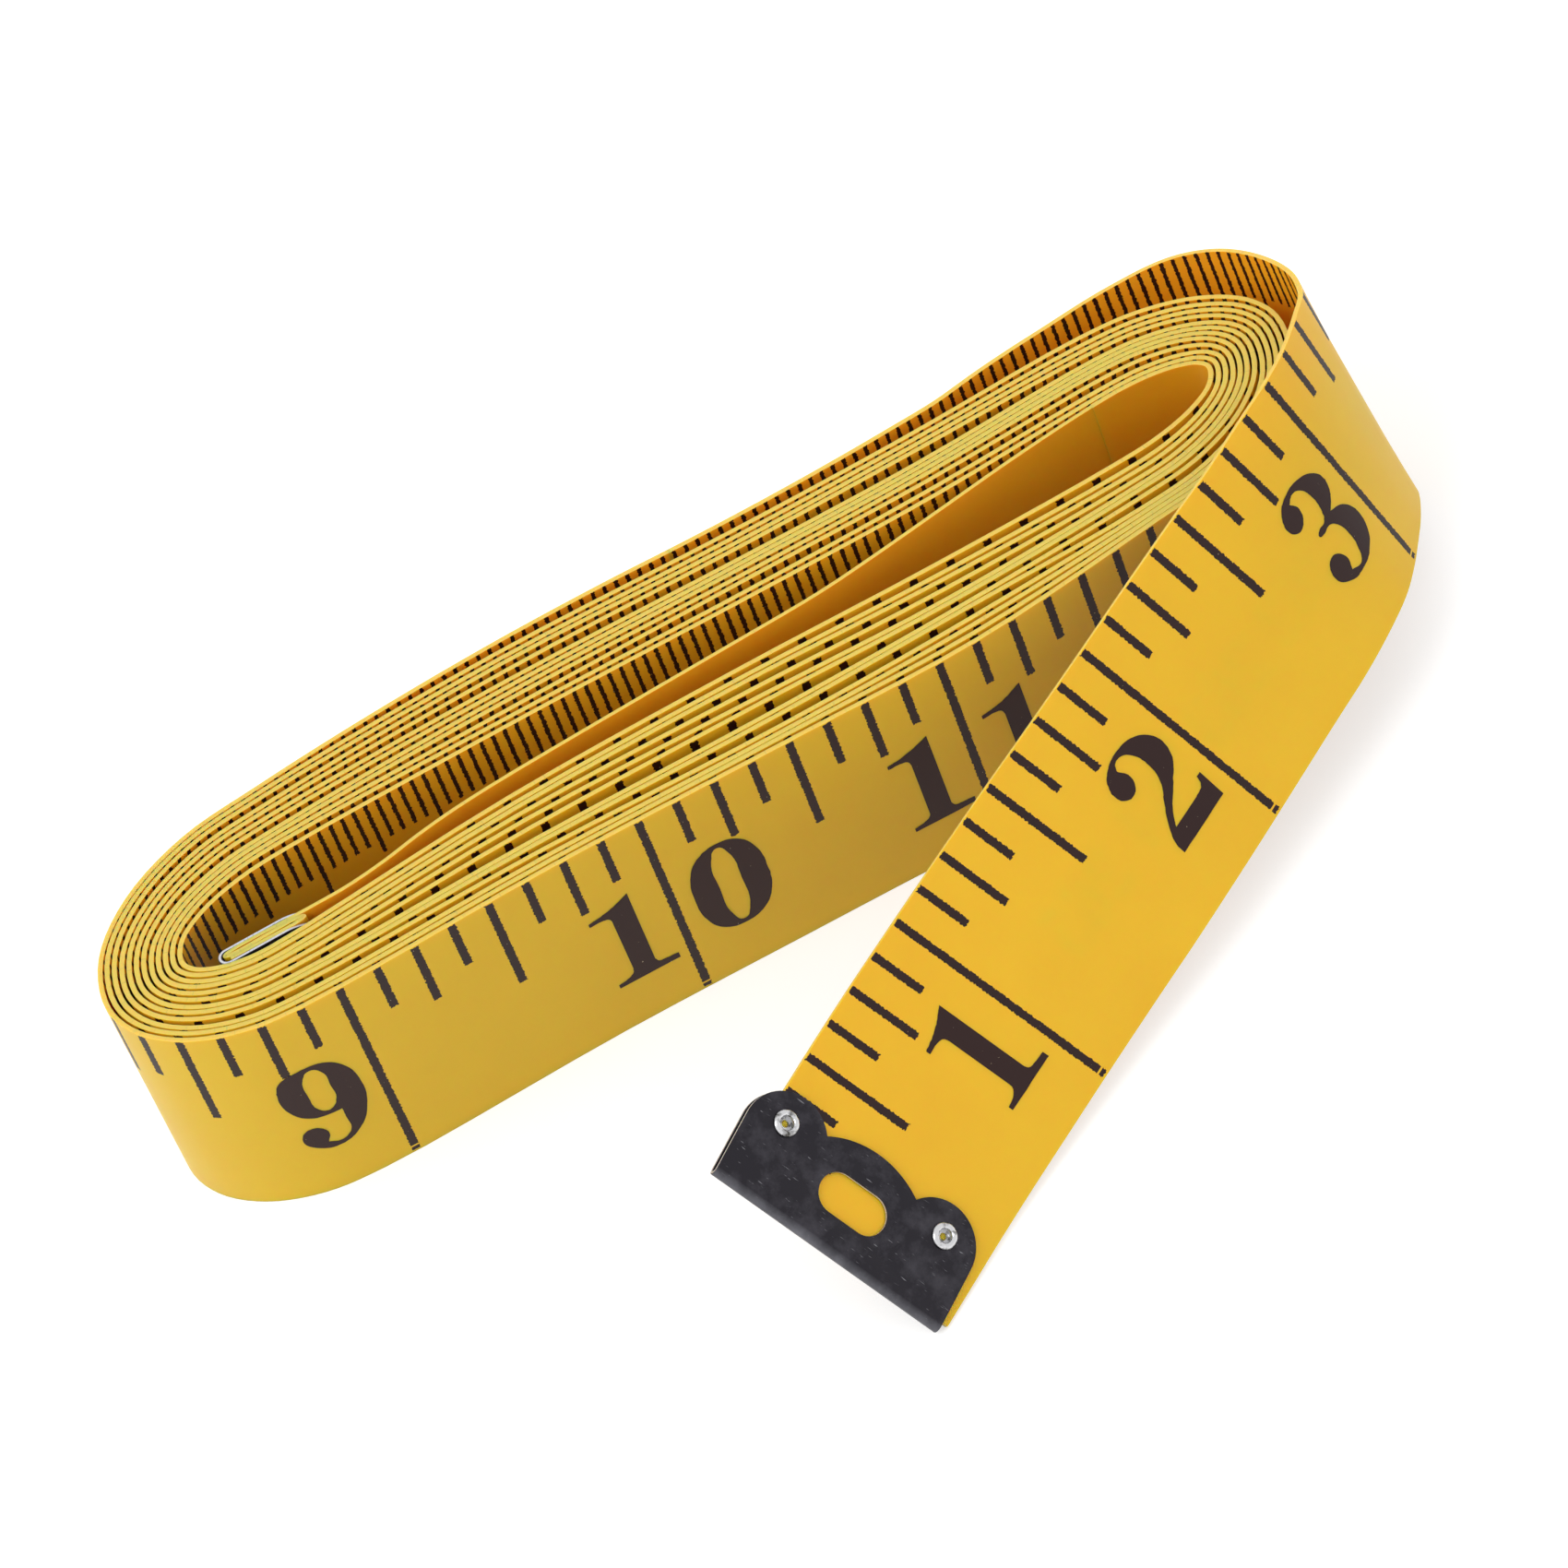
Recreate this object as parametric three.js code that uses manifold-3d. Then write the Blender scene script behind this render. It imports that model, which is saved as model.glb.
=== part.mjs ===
// A cloth tape measure as it lies on a table. The tape stands on its plain edge, wound into a long flat coil.
// Its inner end lies in the coil's opening, its outer end runs round the coil's right end and out in front,
// and a folded metal clip is riveted to each end with two eyelets. Millimetres, +Z up.
import * as THREE from "three";
import { mergeVertices } from "three/addons/utils/BufferGeometryUtils.js";
import Module from "manifold-3d";

const wasm = await Module();
wasm.setup();

// Tape
const tapeWidth = 20;
const tapeThickness = 0.22;

// Coil: half-round ends joined by long runs, with the turns spaced evenly
const turnCount = 12;
const turnPitch = 0.65;
const openingRadius = 3.1;
const coilRun = 81.2;
const leftEndShift = 1.5;
const frontBulge = 0.5;
const frontSlack = 1.25;
const backBulge = 1;

// Tape ends: the outer one's length is that of its front part, from its last bend to its clip's fold
const tailLength = 63.3;
const hingeGap = 0.3;
const endInFold = 0.9;

// Clip of folded sheet
const clipWidth = tapeWidth;
const clipLength = 8.75;
const clipSheet = 0.3;
const clipSlack = 0.17;
const clipOverhang = 1.1;
const clipLobeRadius = 3.1;
const clipLobeFromTop = 2.9;
const clipLobeHeight = clipLength - clipLobeFromTop;
const clipArchRadius = 8.1;
const slotLength = 5.6;
const slotWidth = 3.4;
const slotHeight = clipLength / 2;

// Eyelet
const eyeletBore = 0.5;
const eyeletWall = 0.2;
const eyeletFlange = 1;
const eyeletFlangeThickness = 0.15;
const eyeletSeatGap = 0.05;
const eyeletHoleGap = 0.1;
const eyeletAboveLobe = 0.77;
const eyeletHeight = clipLobeHeight + eyeletAboveLobe;
const eyeletFromSide = 3;

// Facets
const endSteps = 12;
const stepLength = 4;
const stepDegrees = 9;
const eyeletSides = 16;

// Where along the coil's run the form changes, from the left end's centre to the right end's
const leftShiftFullShare = -0.058;
const leftShiftStartShare = 0.163;
const bulgeShares = { rise: 0, full: 0.163, hold: 0.776, end: 0.972 };
const slackShares = { rise: 0.04, full: 0.629, hold: 0.702, end: 0.947 };
const backBulgeMiddleShare = 0.384;
const backBulgeHalfShare = 0.368;
const frontStationShares = [0.95, 0.89, 0.83, 0.77, 0.7, 0.55, 0.35, 0.22, 0.15, 0.1, 0.05];
const backStationShares = [0.04, 0.08, 0.12, 0.163];
const outerBackStationShares = [0.04, 0.08, 0.12, 0.163, 0.22, 0.28, 0.34, 0.4, 0.46, 0.533];
// How much of the front's slack lies under each turn, from the innermost
const slackTurnShares = [0, 0.03, 0.06, 0.09, 0.12, 0.17, 0.4, 0.45, 0.75, 0.84, 0.92, 1];

// The inner end's way through the opening: share of the run, and share of the opening's width below the back
const innerHingeShare = 0.94;
const innerRouteShares = [
  [0.881, 0.02],
  [0.817, 0.113],
  [0.756, 0.258],
  [0.6765, 0.42],
  [0.58, 0.5],
  [0.49, 0.516],
  [0.38, 0.535],
  [0.272, 0.629],
  [0.163, 0.8],
  [0.087, 0.895],
];
const innerFoldShare = -0.021;

// The outer end's way: each stretch is a share of the run, of the coil's outer radius or of the tail's own length,
// with its turn to the left and its twist in degrees
const tailToHingeStretches = [
  { runShare: 0.2893, turn: 6, twist: 0 },
  { runShare: 0.1725, turn: 0, twist: -8 },
  { radiusShare: 0.734, turn: -32.5, twist: -6 },
  { radiusShare: 0.5505, turn: -35.5, twist: -4 },
];
const tailFreeStretches = [
  { radiusShare: 0.5505, turn: -7.5, twist: 4.5 },
  { radiusShare: 0.5505, turn: -46.5, twist: 9 },
  { radiusShare: 0.5505, turn: -14.5, twist: 5 },
  { radiusShare: 0.5505, turn: -11, twist: 7.5 },
  { radiusShare: 0.734, turn: -13, twist: 5 },
  { lengthShare: 0.158, turn: 1.5, twist: 2.5 },
  { lengthShare: 0.2528, turn: -4, twist: 4 },
  { lengthShare: 0.2844, turn: 5, twist: 0.5 },
  { lengthShare: 0.158, turn: 6, twist: -1 },
  { lengthShare: 0.1468, turn: 0, twist: 0 },
];

const up = new THREE.Vector3(0, 0, 1);
const tapeMaterial = new THREE.MeshStandardMaterial({ color: 0xdcb035, roughness: 0.5, metalness: 0 });
const clipMaterial = new THREE.MeshStandardMaterial({ color: 0x3a3a3e, roughness: 0.35, metalness: 0.9 });
const eyeletMaterial = new THREE.MeshStandardMaterial({ color: 0xa8a8aa, roughness: 0.3, metalness: 0.9 });

// Solids, cut and joined

function toSolid(geometry) {
  const bare = geometry.clone();
  for (const name of ["normal", "uv"]) bare.deleteAttribute(name);
  const merged = mergeVertices(bare);
  const mesh = new wasm.Mesh({
    numProp: 3,
    vertProperties: merged.attributes.position.array,
    triVerts: new Uint32Array(merged.index.array),
  });
  return new wasm.Manifold(mesh);
}

function toGeometry(solid) {
  const { vertProperties, triVerts } = solid.getMesh();
  const geometry = new THREE.BufferGeometry();
  geometry.setAttribute("position", new THREE.BufferAttribute(vertProperties, 3));
  geometry.setIndex(new THREE.BufferAttribute(triVerts, 1));
  return geometry;
}

function named(name, geometry, material) {
  const mesh = new THREE.Mesh(geometry, material);
  mesh.name = name;
  return mesh;
}

// The tape is a list of stations along its middle line, each a point with the way that the tape runs there
// and the way across it toward the edge that carries the inch marks. The coil's plan has the left end's
// centre at the origin and the run along +X.

function planStation(x, y) {
  return { point: new THREE.Vector3(x, y, tapeWidth / 2), across: up.clone() };
}

const { smoothstep } = THREE.MathUtils;

// A hump along the run: none before rise, whole from full to hold, none after end
function hump(share, { rise, full, hold, end }) {
  return smoothstep(share, rise, full) * (1 - smoothstep(share, hold, end));
}

function leftShift(x) {
  return leftEndShift * (1 - smoothstep(x / coilRun, leftShiftFullShare, leftShiftStartShare));
}

function turnRadius(turn) {
  return openingRadius + turn * turnPitch;
}

function frontStation(turn, share) {
  const x = share * coilRun;
  const slack = frontSlack * slackTurnShares[turn] * hump(share, slackShares);
  const bulge = frontBulge * hump(share, bulgeShares) + slack;
  return planStation(x, -turnRadius(turn) - bulge - leftShift(x));
}

function backStation(turn, share) {
  const x = share * coilRun;
  const fromMiddle = Math.min(1, Math.abs(share - backBulgeMiddleShare) / backBulgeHalfShare);
  const bulge = turn === turnCount ? (backBulge * (1 + Math.cos(Math.PI * fromMiddle))) / 2 : 0;
  return planStation(x, turnRadius(turn) + bulge - leftShift(x));
}

// A half-round end, walked clockwise
function endStations(centre, radius, startAngle, shift) {
  return Array.from({ length: endSteps + 1 }, (_, step) => {
    const angle = startAngle - (Math.PI * step) / endSteps;
    const x = centre.x + radius * Math.cos(angle);
    return planStation(x, centre.y + radius * Math.sin(angle) - shift(x));
  });
}

function coilStations() {
  const rightCentre = new THREE.Vector2(coilRun, 0);
  const leftCentre = new THREE.Vector2(0, turnPitch / 2);
  const stations = [];
  for (let turn = 0; turn < turnCount; turn += 1) {
    stations.push(...endStations(rightCentre, turnRadius(turn), Math.PI / 2, () => 0));
    stations.push(...frontStationShares.map((share) => frontStation(turn, share)));
    stations.push(...endStations(leftCentre, turnRadius(turn + 0.5), -Math.PI / 2, leftShift));
    const backShares = turn + 1 < turnCount ? backStationShares : outerBackStationShares;
    stations.push(...backShares.map((share) => backStation(turn + 1, share)));
  }
  return stations;
}

function walk(stations) {
  stations.forEach((station, i) => {
    const before = stations[Math.max(i - 1, 0)].point;
    const after = stations[Math.min(i + 1, stations.length - 1)].point;
    const into = station.point.clone().sub(before).normalize();
    const out = after.clone().sub(station.point).normalize();
    station.forward = into.add(out).normalize();
  });
  return stations;
}

// Carries on from a station as a strip that bends about its own width and twists about its own length
function bentStations(start, stretches) {
  const stations = [];
  let { point, across, forward } = start;
  for (const { runShare = 0, radiusShare = 0, lengthShare = 0, turn, twist } of stretches) {
    const length = runShare * coilRun + radiusShare * turnRadius(turnCount) + lengthShare * tailLength;
    const steps = Math.ceil(Math.max(length / stepLength, Math.abs(turn) / stepDegrees));
    for (let step = 0; step < steps; step += 1) {
      const rotation = across.clone().multiplyScalar(THREE.MathUtils.degToRad(turn / steps));
      rotation.addScaledVector(forward, THREE.MathUtils.degToRad(twist / steps));
      const angle = rotation.length();
      const axis = rotation.normalize();
      const nextForward = forward.clone().applyAxisAngle(axis, angle);
      const chord = forward.clone().add(nextForward).normalize();
      point = point.clone().addScaledVector(chord, length / steps);
      across = across.clone().applyAxisAngle(axis, angle);
      forward = nextForward;
      stations.push({ point, across, forward });
    }
  }
  return stations;
}

function moved(station, distance) {
  return { ...station, point: station.point.clone().addScaledVector(station.forward, distance) };
}

// The closed solid of the tape along its stations
function tapeGeometry(stations) {
  const positions = [];
  for (const { point, across, forward } of stations) {
    const halfWidth = across.clone().multiplyScalar(tapeWidth / 2);
    const halfThickness = across.clone().cross(forward).setLength(tapeThickness / 2);
    for (const [sideways, outward] of [[1, 1], [1, -1], [-1, -1], [-1, 1]]) {
      const corner = point.clone().addScaledVector(halfWidth, sideways).addScaledVector(halfThickness, outward);
      positions.push(...corner);
    }
  }
  const index = [0, 2, 1, 0, 3, 2];
  const last = (stations.length - 1) * 4;
  for (let start = 0; start < last; start += 4)
    for (let side = 0; side < 4; side += 1) {
      const [a, b] = [start + side, start + ((side + 1) % 4)];
      // Both faces of a twisted stretch fold along the same diagonal, which keeps the tape's thickness
      if (side < 2) index.push(a, b, a + 4, b, b + 4, a + 4);
      else index.push(a, b, b + 4, a, b + 4, a + 4);
    }
  index.push(last, last + 1, last + 2, last, last + 2, last + 3);
  const geometry = new THREE.BufferGeometry();
  geometry.setAttribute("position", new THREE.Float32BufferAttribute(positions, 3));
  geometry.setIndex(index);
  return geometry;
}

// The clip lies in its own frame: X across from the middle, Y from the fold along the tape, Z through it
const clipInside = tapeThickness / 2 + clipSlack;
const clipOutside = clipInside + clipSheet;
const eyeletPlaces = [-1, 1].map((side) => new THREE.Vector2(side * (clipWidth / 2 - eyeletFromSide), eyeletHeight));
const eyeletHoleRadius = eyeletBore + eyeletWall + eyeletHoleGap;
const cutThrough = 4 * clipOutside;

function clipOutline() {
  const half = clipWidth / 2;
  const lobe = new THREE.Vector2(half - clipLobeRadius, clipLobeHeight);
  const arch = new THREE.Vector2(0, clipLength - clipArchRadius);
  // Where the lobe's circle meets the arch's, seen from each centre
  const apart = lobe.distanceTo(arch);
  const line = Math.atan2(lobe.y - arch.y, lobe.x - arch.x);
  const fromArch = line + Math.acos(
    (apart ** 2 + clipArchRadius ** 2 - clipLobeRadius ** 2) / (2 * apart * clipArchRadius),
  );
  const valley = new THREE.Vector2(Math.cos(fromArch), Math.sin(fromArch)).multiplyScalar(clipArchRadius).add(arch);
  const fromLobe = Math.atan2(valley.y - lobe.y, valley.x - lobe.x);
  const outline = new THREE.Shape();
  outline.moveTo(-half, -clipLength);
  outline.lineTo(half, -clipLength);
  outline.absarc(lobe.x, lobe.y, clipLobeRadius, 0, fromLobe);
  outline.absarc(arch.x, arch.y, clipArchRadius, fromArch, Math.PI - fromArch);
  outline.absarc(-lobe.x, lobe.y, clipLobeRadius, Math.PI - fromLobe, Math.PI);
  const slot = new THREE.Path();
  const slotReach = (slotLength - slotWidth) / 2;
  slot.absarc(slotReach, slotHeight, slotWidth / 2, -Math.PI / 2, Math.PI / 2);
  slot.absarc(-slotReach, slotHeight, slotWidth / 2, Math.PI / 2, (3 * Math.PI) / 2);
  const holes = eyeletPlaces.map(({ x, y }) => new THREE.Path().absarc(x, y, eyeletHoleRadius, 0, 2 * Math.PI));
  outline.holes = [slot, ...holes];
  return outline;
}

function foldedSheet() {
  const profile = new THREE.Shape();
  const reach = 2 * clipLength;
  profile.moveTo(reach, clipOutside);
  profile.absarc(clipOutside, 0, clipOutside, Math.PI / 2, (3 * Math.PI) / 2);
  profile.lineTo(reach, -clipOutside);
  profile.lineTo(reach, -clipInside);
  profile.absarc(clipOutside, 0, clipInside, (3 * Math.PI) / 2, Math.PI / 2, true);
  profile.lineTo(reach, clipInside);
  const sheet = new THREE.ExtrudeGeometry(profile, { depth: 2 * clipWidth, bevelEnabled: false, curveSegments: 6 });
  // The profile's X runs along the clip's Y, and its extrusion along the clip's X
  return sheet.translate(0, 0, -clipWidth).applyMatrix4(
    new THREE.Matrix4().makeBasis(new THREE.Vector3(0, 1, 0), up, new THREE.Vector3(1, 0, 0)),
  );
}

function clipGeometry() {
  const block = new THREE.ExtrudeGeometry(clipOutline(), {
    depth: cutThrough,
    bevelEnabled: false,
    curveSegments: 8,
  });
  block.translate(0, 0, -cutThrough / 2);
  return toGeometry(toSolid(foldedSheet()).intersect(toSolid(block)));
}

function eyeletGeometry() {
  const seat = clipOutside + eyeletSeatGap;
  const top = seat + eyeletFlangeThickness;
  const barrel = eyeletBore + eyeletWall;
  const profile = [
    [eyeletBore, -top],
    [eyeletFlange, -top],
    [eyeletFlange, -seat],
    [barrel, -seat],
    [barrel, seat],
    [eyeletFlange, seat],
    [eyeletFlange, top],
    [eyeletBore, top],
    [eyeletBore, -top],
  ].map(([radius, height]) => new THREE.Vector2(radius, height));
  return new THREE.LatheGeometry(profile, eyeletSides).rotateX(Math.PI / 2);
}

// Cuts the eyelets' holes through the tape's end, given the clip's place
function pierced(geometry, clipPlace) {
  let solid = toSolid(geometry);
  for (const { x, y } of eyeletPlaces) {
    const cutter = new THREE.CylinderGeometry(eyeletHoleRadius, eyeletHoleRadius, cutThrough, eyeletSides);
    cutter.rotateX(Math.PI / 2).translate(x, y, 0).applyMatrix4(clipPlace);
    solid = solid.subtract(toSolid(cutter));
  }
  return toGeometry(solid);
}

// The clip's place on the tape: its fold at the end station, its length back along the tape
function placeOf(fold, backward) {
  const side = fold.across.clone().negate();
  const through = side.clone().cross(backward);
  return new THREE.Matrix4()
    .makeBasis(side, backward, through)
    .setPosition(fold.point.clone().addScaledVector(fold.across, clipOverhang));
}

function clipGroup(name, place) {
  const group = new THREE.Group();
  group.applyMatrix4(place);
  group.add(named(`clip_${name}`, clipGeometry(), clipMaterial));
  eyeletPlaces.forEach(({ x, y }, i) => {
    const eyelet = named(`eyelet_${name}_${i + 1}`, eyeletGeometry(), eyeletMaterial);
    eyelet.position.set(x, y, 0);
    group.add(eyelet);
  });
  return group;
}

// Least gap between the wound tape's turns: from points over its width to the upright walls of the other turns
function leastGap(stations) {
  const travelled = [0];
  for (let i = 1; i < stations.length; i += 1)
    travelled.push(travelled[i - 1] + stations[i].point.distanceTo(stations[i - 1].point));
  const plan = stations.map(({ point }) => new THREE.Vector3(point.x, point.y, 0));
  const nearest = new THREE.Vector3();
  let least = Infinity;
  stations.forEach(({ point, across }, i) => {
    for (const share of [-1, -0.5, 0, 0.5, 1]) {
      const probe = point.clone().addScaledVector(across, (share * tapeWidth) / 2);
      if (probe.z > tapeWidth * (1 + Number.EPSILON)) continue;
      probe.z = 0;
      for (let j = 1; j < plan.length; j += 1) {
        const along = Math.min(Math.abs(travelled[i] - travelled[j]), Math.abs(travelled[i] - travelled[j - 1]));
        if (along < Math.PI * openingRadius) continue;
        new THREE.Line3(plan[j - 1], plan[j]).closestPointToPoint(probe, true, nearest);
        least = Math.min(least, probe.distanceTo(nearest));
      }
    }
  });
  return least - tapeThickness;
}

// The wound tape, from the inner end's hinge to the outer end's
const coil = walk(coilStations());
const innerHinge = { ...backStation(0, innerHingeShare), forward: new THREE.Vector3(1, 0, 0) };
const tailRoot = coil.at(-1);
const toHinge = bentStations(tailRoot, tailToHingeStretches);
const outerHinge = toHinge.at(-1);
const wound = [moved(innerHinge, hingeGap / 2), ...coil, ...toHinge.slice(0, -1), moved(outerHinge, -hingeGap / 2)];

// The outer end, from its hinge to its clip
const outerEnd = bentStations(outerHinge, tailFreeStretches);
const outerFold = outerEnd.at(-1);
const outerPlace = placeOf(outerFold, outerFold.forward.clone().negate());
const outerStations = [moved(outerHinge, hingeGap / 2), ...outerEnd.slice(0, -1), moved(outerFold, -endInFold)];

// The inner end, from its clip to its hinge, straight inside the clip
const innerHeightAt = (drop) => turnRadius(0) - drop * 2 * openingRadius;
const innerRoute = [[innerHingeShare, 0], ...innerRouteShares].map(
  ([share, drop]) => new THREE.Vector3(share * coilRun, innerHeightAt(drop), tapeWidth / 2),
);
const innerBend = new THREE.CatmullRomCurve3(innerRoute, false, "centripetal").getPoints(2 * innerRoute.length);
const innerEnd = walk(innerBend.reverse().map(({ x, y }) => planStation(x, y)));
const clipEntry = innerEnd[0];
const innerFold = moved(clipEntry, -(clipEntry.point.x - innerFoldShare * coilRun) / clipEntry.forward.x);
const innerPlace = placeOf(innerFold, innerFold.forward);
const innerStations = [
  moved(innerFold, endInFold),
  ...innerEnd.slice(0, -1),
  moved({ ...innerEnd.at(-1), forward: innerHinge.forward }, -hingeGap / 2),
];

const tapeMeasure = new THREE.Group();
tapeMeasure.add(
  named("tape_winding", tapeGeometry(wound), tapeMaterial),
  named("tape_free_end", pierced(tapeGeometry(outerStations), outerPlace), tapeMaterial),
  named("tape_inner_end", pierced(tapeGeometry(innerStations), innerPlace), tapeMaterial),
  clipGroup("outer", outerPlace),
  clipGroup("inner", innerPlace),
);

// The origin is the middle of the footprint, on the table
const box = new THREE.Box3().setFromObject(tapeMeasure, true);
const middle = box.getCenter(new THREE.Vector3());
tapeMeasure.position.set(-middle.x, -middle.y, -box.min.z);

const inMetres = (vector) => vector.toArray().map((value) => (value / 1000).toFixed(5)).join(", ");
const hingePoint = (station) => inMetres(station.point.clone().add(tapeMeasure.position));
console.log(`least gap between turns: ${leastGap(wound).toFixed(3)} mm`);
console.log(`outer hinge: ${hingePoint(outerHinge)} m, along ${outerHinge.across.toArray().map((v) => v.toFixed(4))}`);
console.log(`inner hinge: ${hingePoint(innerHinge)} m, upright`);

export default tapeMeasure;
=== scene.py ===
import math

import bmesh
import bpy
from mathutils import Matrix, Vector, noise


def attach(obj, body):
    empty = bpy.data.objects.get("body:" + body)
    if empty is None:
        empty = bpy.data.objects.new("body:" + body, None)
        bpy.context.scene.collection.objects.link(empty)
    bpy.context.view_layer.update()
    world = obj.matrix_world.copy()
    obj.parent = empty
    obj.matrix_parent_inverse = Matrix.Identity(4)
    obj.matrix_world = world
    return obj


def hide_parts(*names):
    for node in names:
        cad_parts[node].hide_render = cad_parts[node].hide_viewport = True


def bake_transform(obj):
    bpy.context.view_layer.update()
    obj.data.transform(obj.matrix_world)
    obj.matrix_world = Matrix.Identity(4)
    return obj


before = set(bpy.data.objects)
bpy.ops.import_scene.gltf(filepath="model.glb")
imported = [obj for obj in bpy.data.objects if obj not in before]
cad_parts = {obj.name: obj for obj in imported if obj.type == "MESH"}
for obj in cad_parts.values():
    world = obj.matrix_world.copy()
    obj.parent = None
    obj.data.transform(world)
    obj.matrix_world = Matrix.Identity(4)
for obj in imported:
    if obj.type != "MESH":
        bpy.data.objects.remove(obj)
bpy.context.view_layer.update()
print("frame loaded:", len(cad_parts), "nodes")

mm = 0.001  # every length below is in millimetres, and meshes are scaled at the end
tiny = 0.001  # smaller than any size here: what lies nearer than this is one point

# Camera

cameraSetup = {
    "place": (-66.17, -399.5, 460.8),
    "lookAt": (0.58, 21.89, 0),
    "imageUp": (0.4823, 0.6104, 0.6282),
    "lens": 186.35,
    "sensor": 36,
    "clipStart": 0.05,  # in metres
    "clipEnd": 20,
}


def makeCamera(setup):
    data = bpy.data.cameras.new("camera")
    data.lens = setup["lens"]
    data.sensor_width = setup["sensor"]
    data.clip_start = setup["clipStart"]
    data.clip_end = setup["clipEnd"]
    place = Vector(setup["place"])
    ahead = (Vector(setup["lookAt"]) - place).normalized()
    right = ahead.cross(Vector(setup["imageUp"])).normalized()
    turned = Matrix((right, right.cross(ahead), -ahead)).transposed().to_4x4()
    camera = bpy.data.objects.new("camera", data)
    camera.matrix_world = Matrix.Translation(place * mm) @ turned
    bpy.context.scene.collection.objects.link(camera)
    bpy.context.scene.camera = camera


makeCamera(cameraSetup)
print("camera made")

# The tape's way: twelve turns round a narrow opening, with one loose end in the opening and one in front

tape = {
    "width": 20,
    "thickness": {"winding": 0.39, "outer": 0.39, "inner": 0.31},  # the inner end is pressed flat
    "columns": 4,  # faces over the width
    "endInFold": 0.9,
    "firstMark": 0.7,  # the scale's zero lies this far outside the outer clip's fold
    "smoothAngle": 50,
}
coil = {
    "middle": 18.89,  # the opening's, towards the back
    "turns": 12,
    # how far each turn lies from the middle at places along its front and back, the innermost turn first
    "frontPlaces": (-41, -20, 0, 16, 32),
    "front": (
        (4.54, 2.93, 2.83, 3.21, 3.14),
        (5.01, 3.71, 3.71, 4.26, 4.2),
        (5.66, 4.21, 4.26, 4.91, 4.86),
        (6.11, 4.96, 5.31, 5.86, 5.6),
        (6.76, 5.76, 6.31, 6.87, 6.22),
        (7.42, 6.71, 6.96, 7.33, 6.67),
        (8.18, 7.97, 8.33, 8.19, 7.4),
        (8.63, 8.43, 8.86, 8.66, 8.38),
        (9.28, 9.26, 9.96, 9.76, 8.84),
        (10.24, 10.01, 10.54, 10.46, 9.3),
        (10.71, 10.56, 11.01, 11.21, 9.75),
        (11.33, 11.14, 11.66, 11.95, 10.2),
    ),
    "backPlaces": (-36, -15, 5, 20, 36),
    "back": (
        (3.59, 3.64, 3.24, 3.17, 3.94),
        (4.47, 4.34, 3.89, 3.92, 4.51),
        (4.97, 5.09, 4.99, 4.87, 5.4),
        (5.5, 5.99, 5.59, 5.56, 6.18),
        (5.96, 6.59, 6.27, 6.05, 6.63),
        (6.81, 7.19, 6.74, 6.52, 7.08),
        (7.41, 7.79, 7.21, 6.99, 7.53),
        (8.09, 8.79, 8.34, 8.27, 8.35),
        (8.64, 9.64, 8.89, 8.81, 8.95),
        (9.49, 10.19, 9.49, 9.39, 9.55),
        (10.04, 10.84, 10.17, 10.01, 10.35),
    ),
    "firstBack": (36, 3.47),  # where the innermost turn's right end starts
    "lastBack": ((-35.5, 10.62), (-26, 11.43), (-15, 11.87), (-5.37, 11.8), (0.56, 11.547)),
    # the foremost points of the two ends, of the innermost and the outermost turn
    "leftApex": ((-47.3, -1.5), (-53.74, -2)),
    "rightApex": ((42.72, 1.1), (49.3, 2.3)),
    "endSteps": 4,
    "perSpan": 5,
}
# stretches of the outer end: length, turn to the left and twist in degrees
tail = {
    "toHinge": ((23.49, 6, 0), (14.007, 0, -8), (8, -32.5, -6), (6, -35.5, -4)),
    "free": (
        (6, -7.5, 4.5),
        (6, -46.5, 9),
        (6, -14.5, 5),
        (6, -11, 7.5),
        (8, -13, 5),
        (10, 1.5, 2.5),
        (16, -4, 4),
        (18, 5, 0.5),
        (10, 6, -1),
        (8.29, 0, 0),
    ),
    "stepLength": 4,
    "stepDegrees": 9,
    "perSpan": 5,
    "bendAhead": 5,  # a length on each side of the hinge
}
# near its clip the woven tape is pulled askew: it lies further to the plain edge's side, its threads aren't
# square to its edges, and it ends short of where a straight one would
pulled = {"side": 0.85, "sideUntil": 85, "skew": 1.4, "skewUntil": 100, "short": 1, "shortUntil": 60}
# the loop at the right: between these marks it lies this much nearer to the winding than its bends alone
# would bring it; its bends run evenly into each other, its lower edge stands out and its print is stretched
outerLoop = {
    "in": (0, -0.3),
    "from": (101, 107),
    "to": (111, 120),
    "even": (86, 116),
    "evenTimes": 160,
    "standsOut": 0.6,
    "outFrom": (86, 94),
    "outTo": (108, 120),
    "stretch": 1.1,
    "stretchFrom": (92, 146),
}
# the end is folded over twice inside its clip: the folds are given from the loose end
innerEnd = {
    "hinge": (33.6, 3.36),
    "route": (
        (30, 3.02),
        (25, 2.4),
        (20, 1.66),
        (13, 0.65),
        (8, 0.08),
        (0, -0.22),
        (-10, -0.54),
        (-20, -0.95),
        (-24, -1.28),
        (-27.3, -1.78),
        (-30.5, -2.45),
        (-33.8, -2.87),
        (-37.2, -2.93),
    ),
    "folds": (
        (-44, -3.57),
        (-38, -3.57),
        (-37.7, -3.41),
        (-38, -3.25),
        (-44, -3.25),
        (-44.3, -3.09),
        (-44, -2.93),
    ),
    "fold": (-44.9, -3.25),
    "clipEnd": (-36, -3.25),
    "perSpan": 5,
    "bend": ((34.6, 3.1), (25.5, 3.1)),
}

up = Vector((0, 0, 1))


def smoothStep(value, low, high):
    t = min(1, max(0, (value - low) / (high - low)))
    return t * t * (3 - 2 * t)


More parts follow.
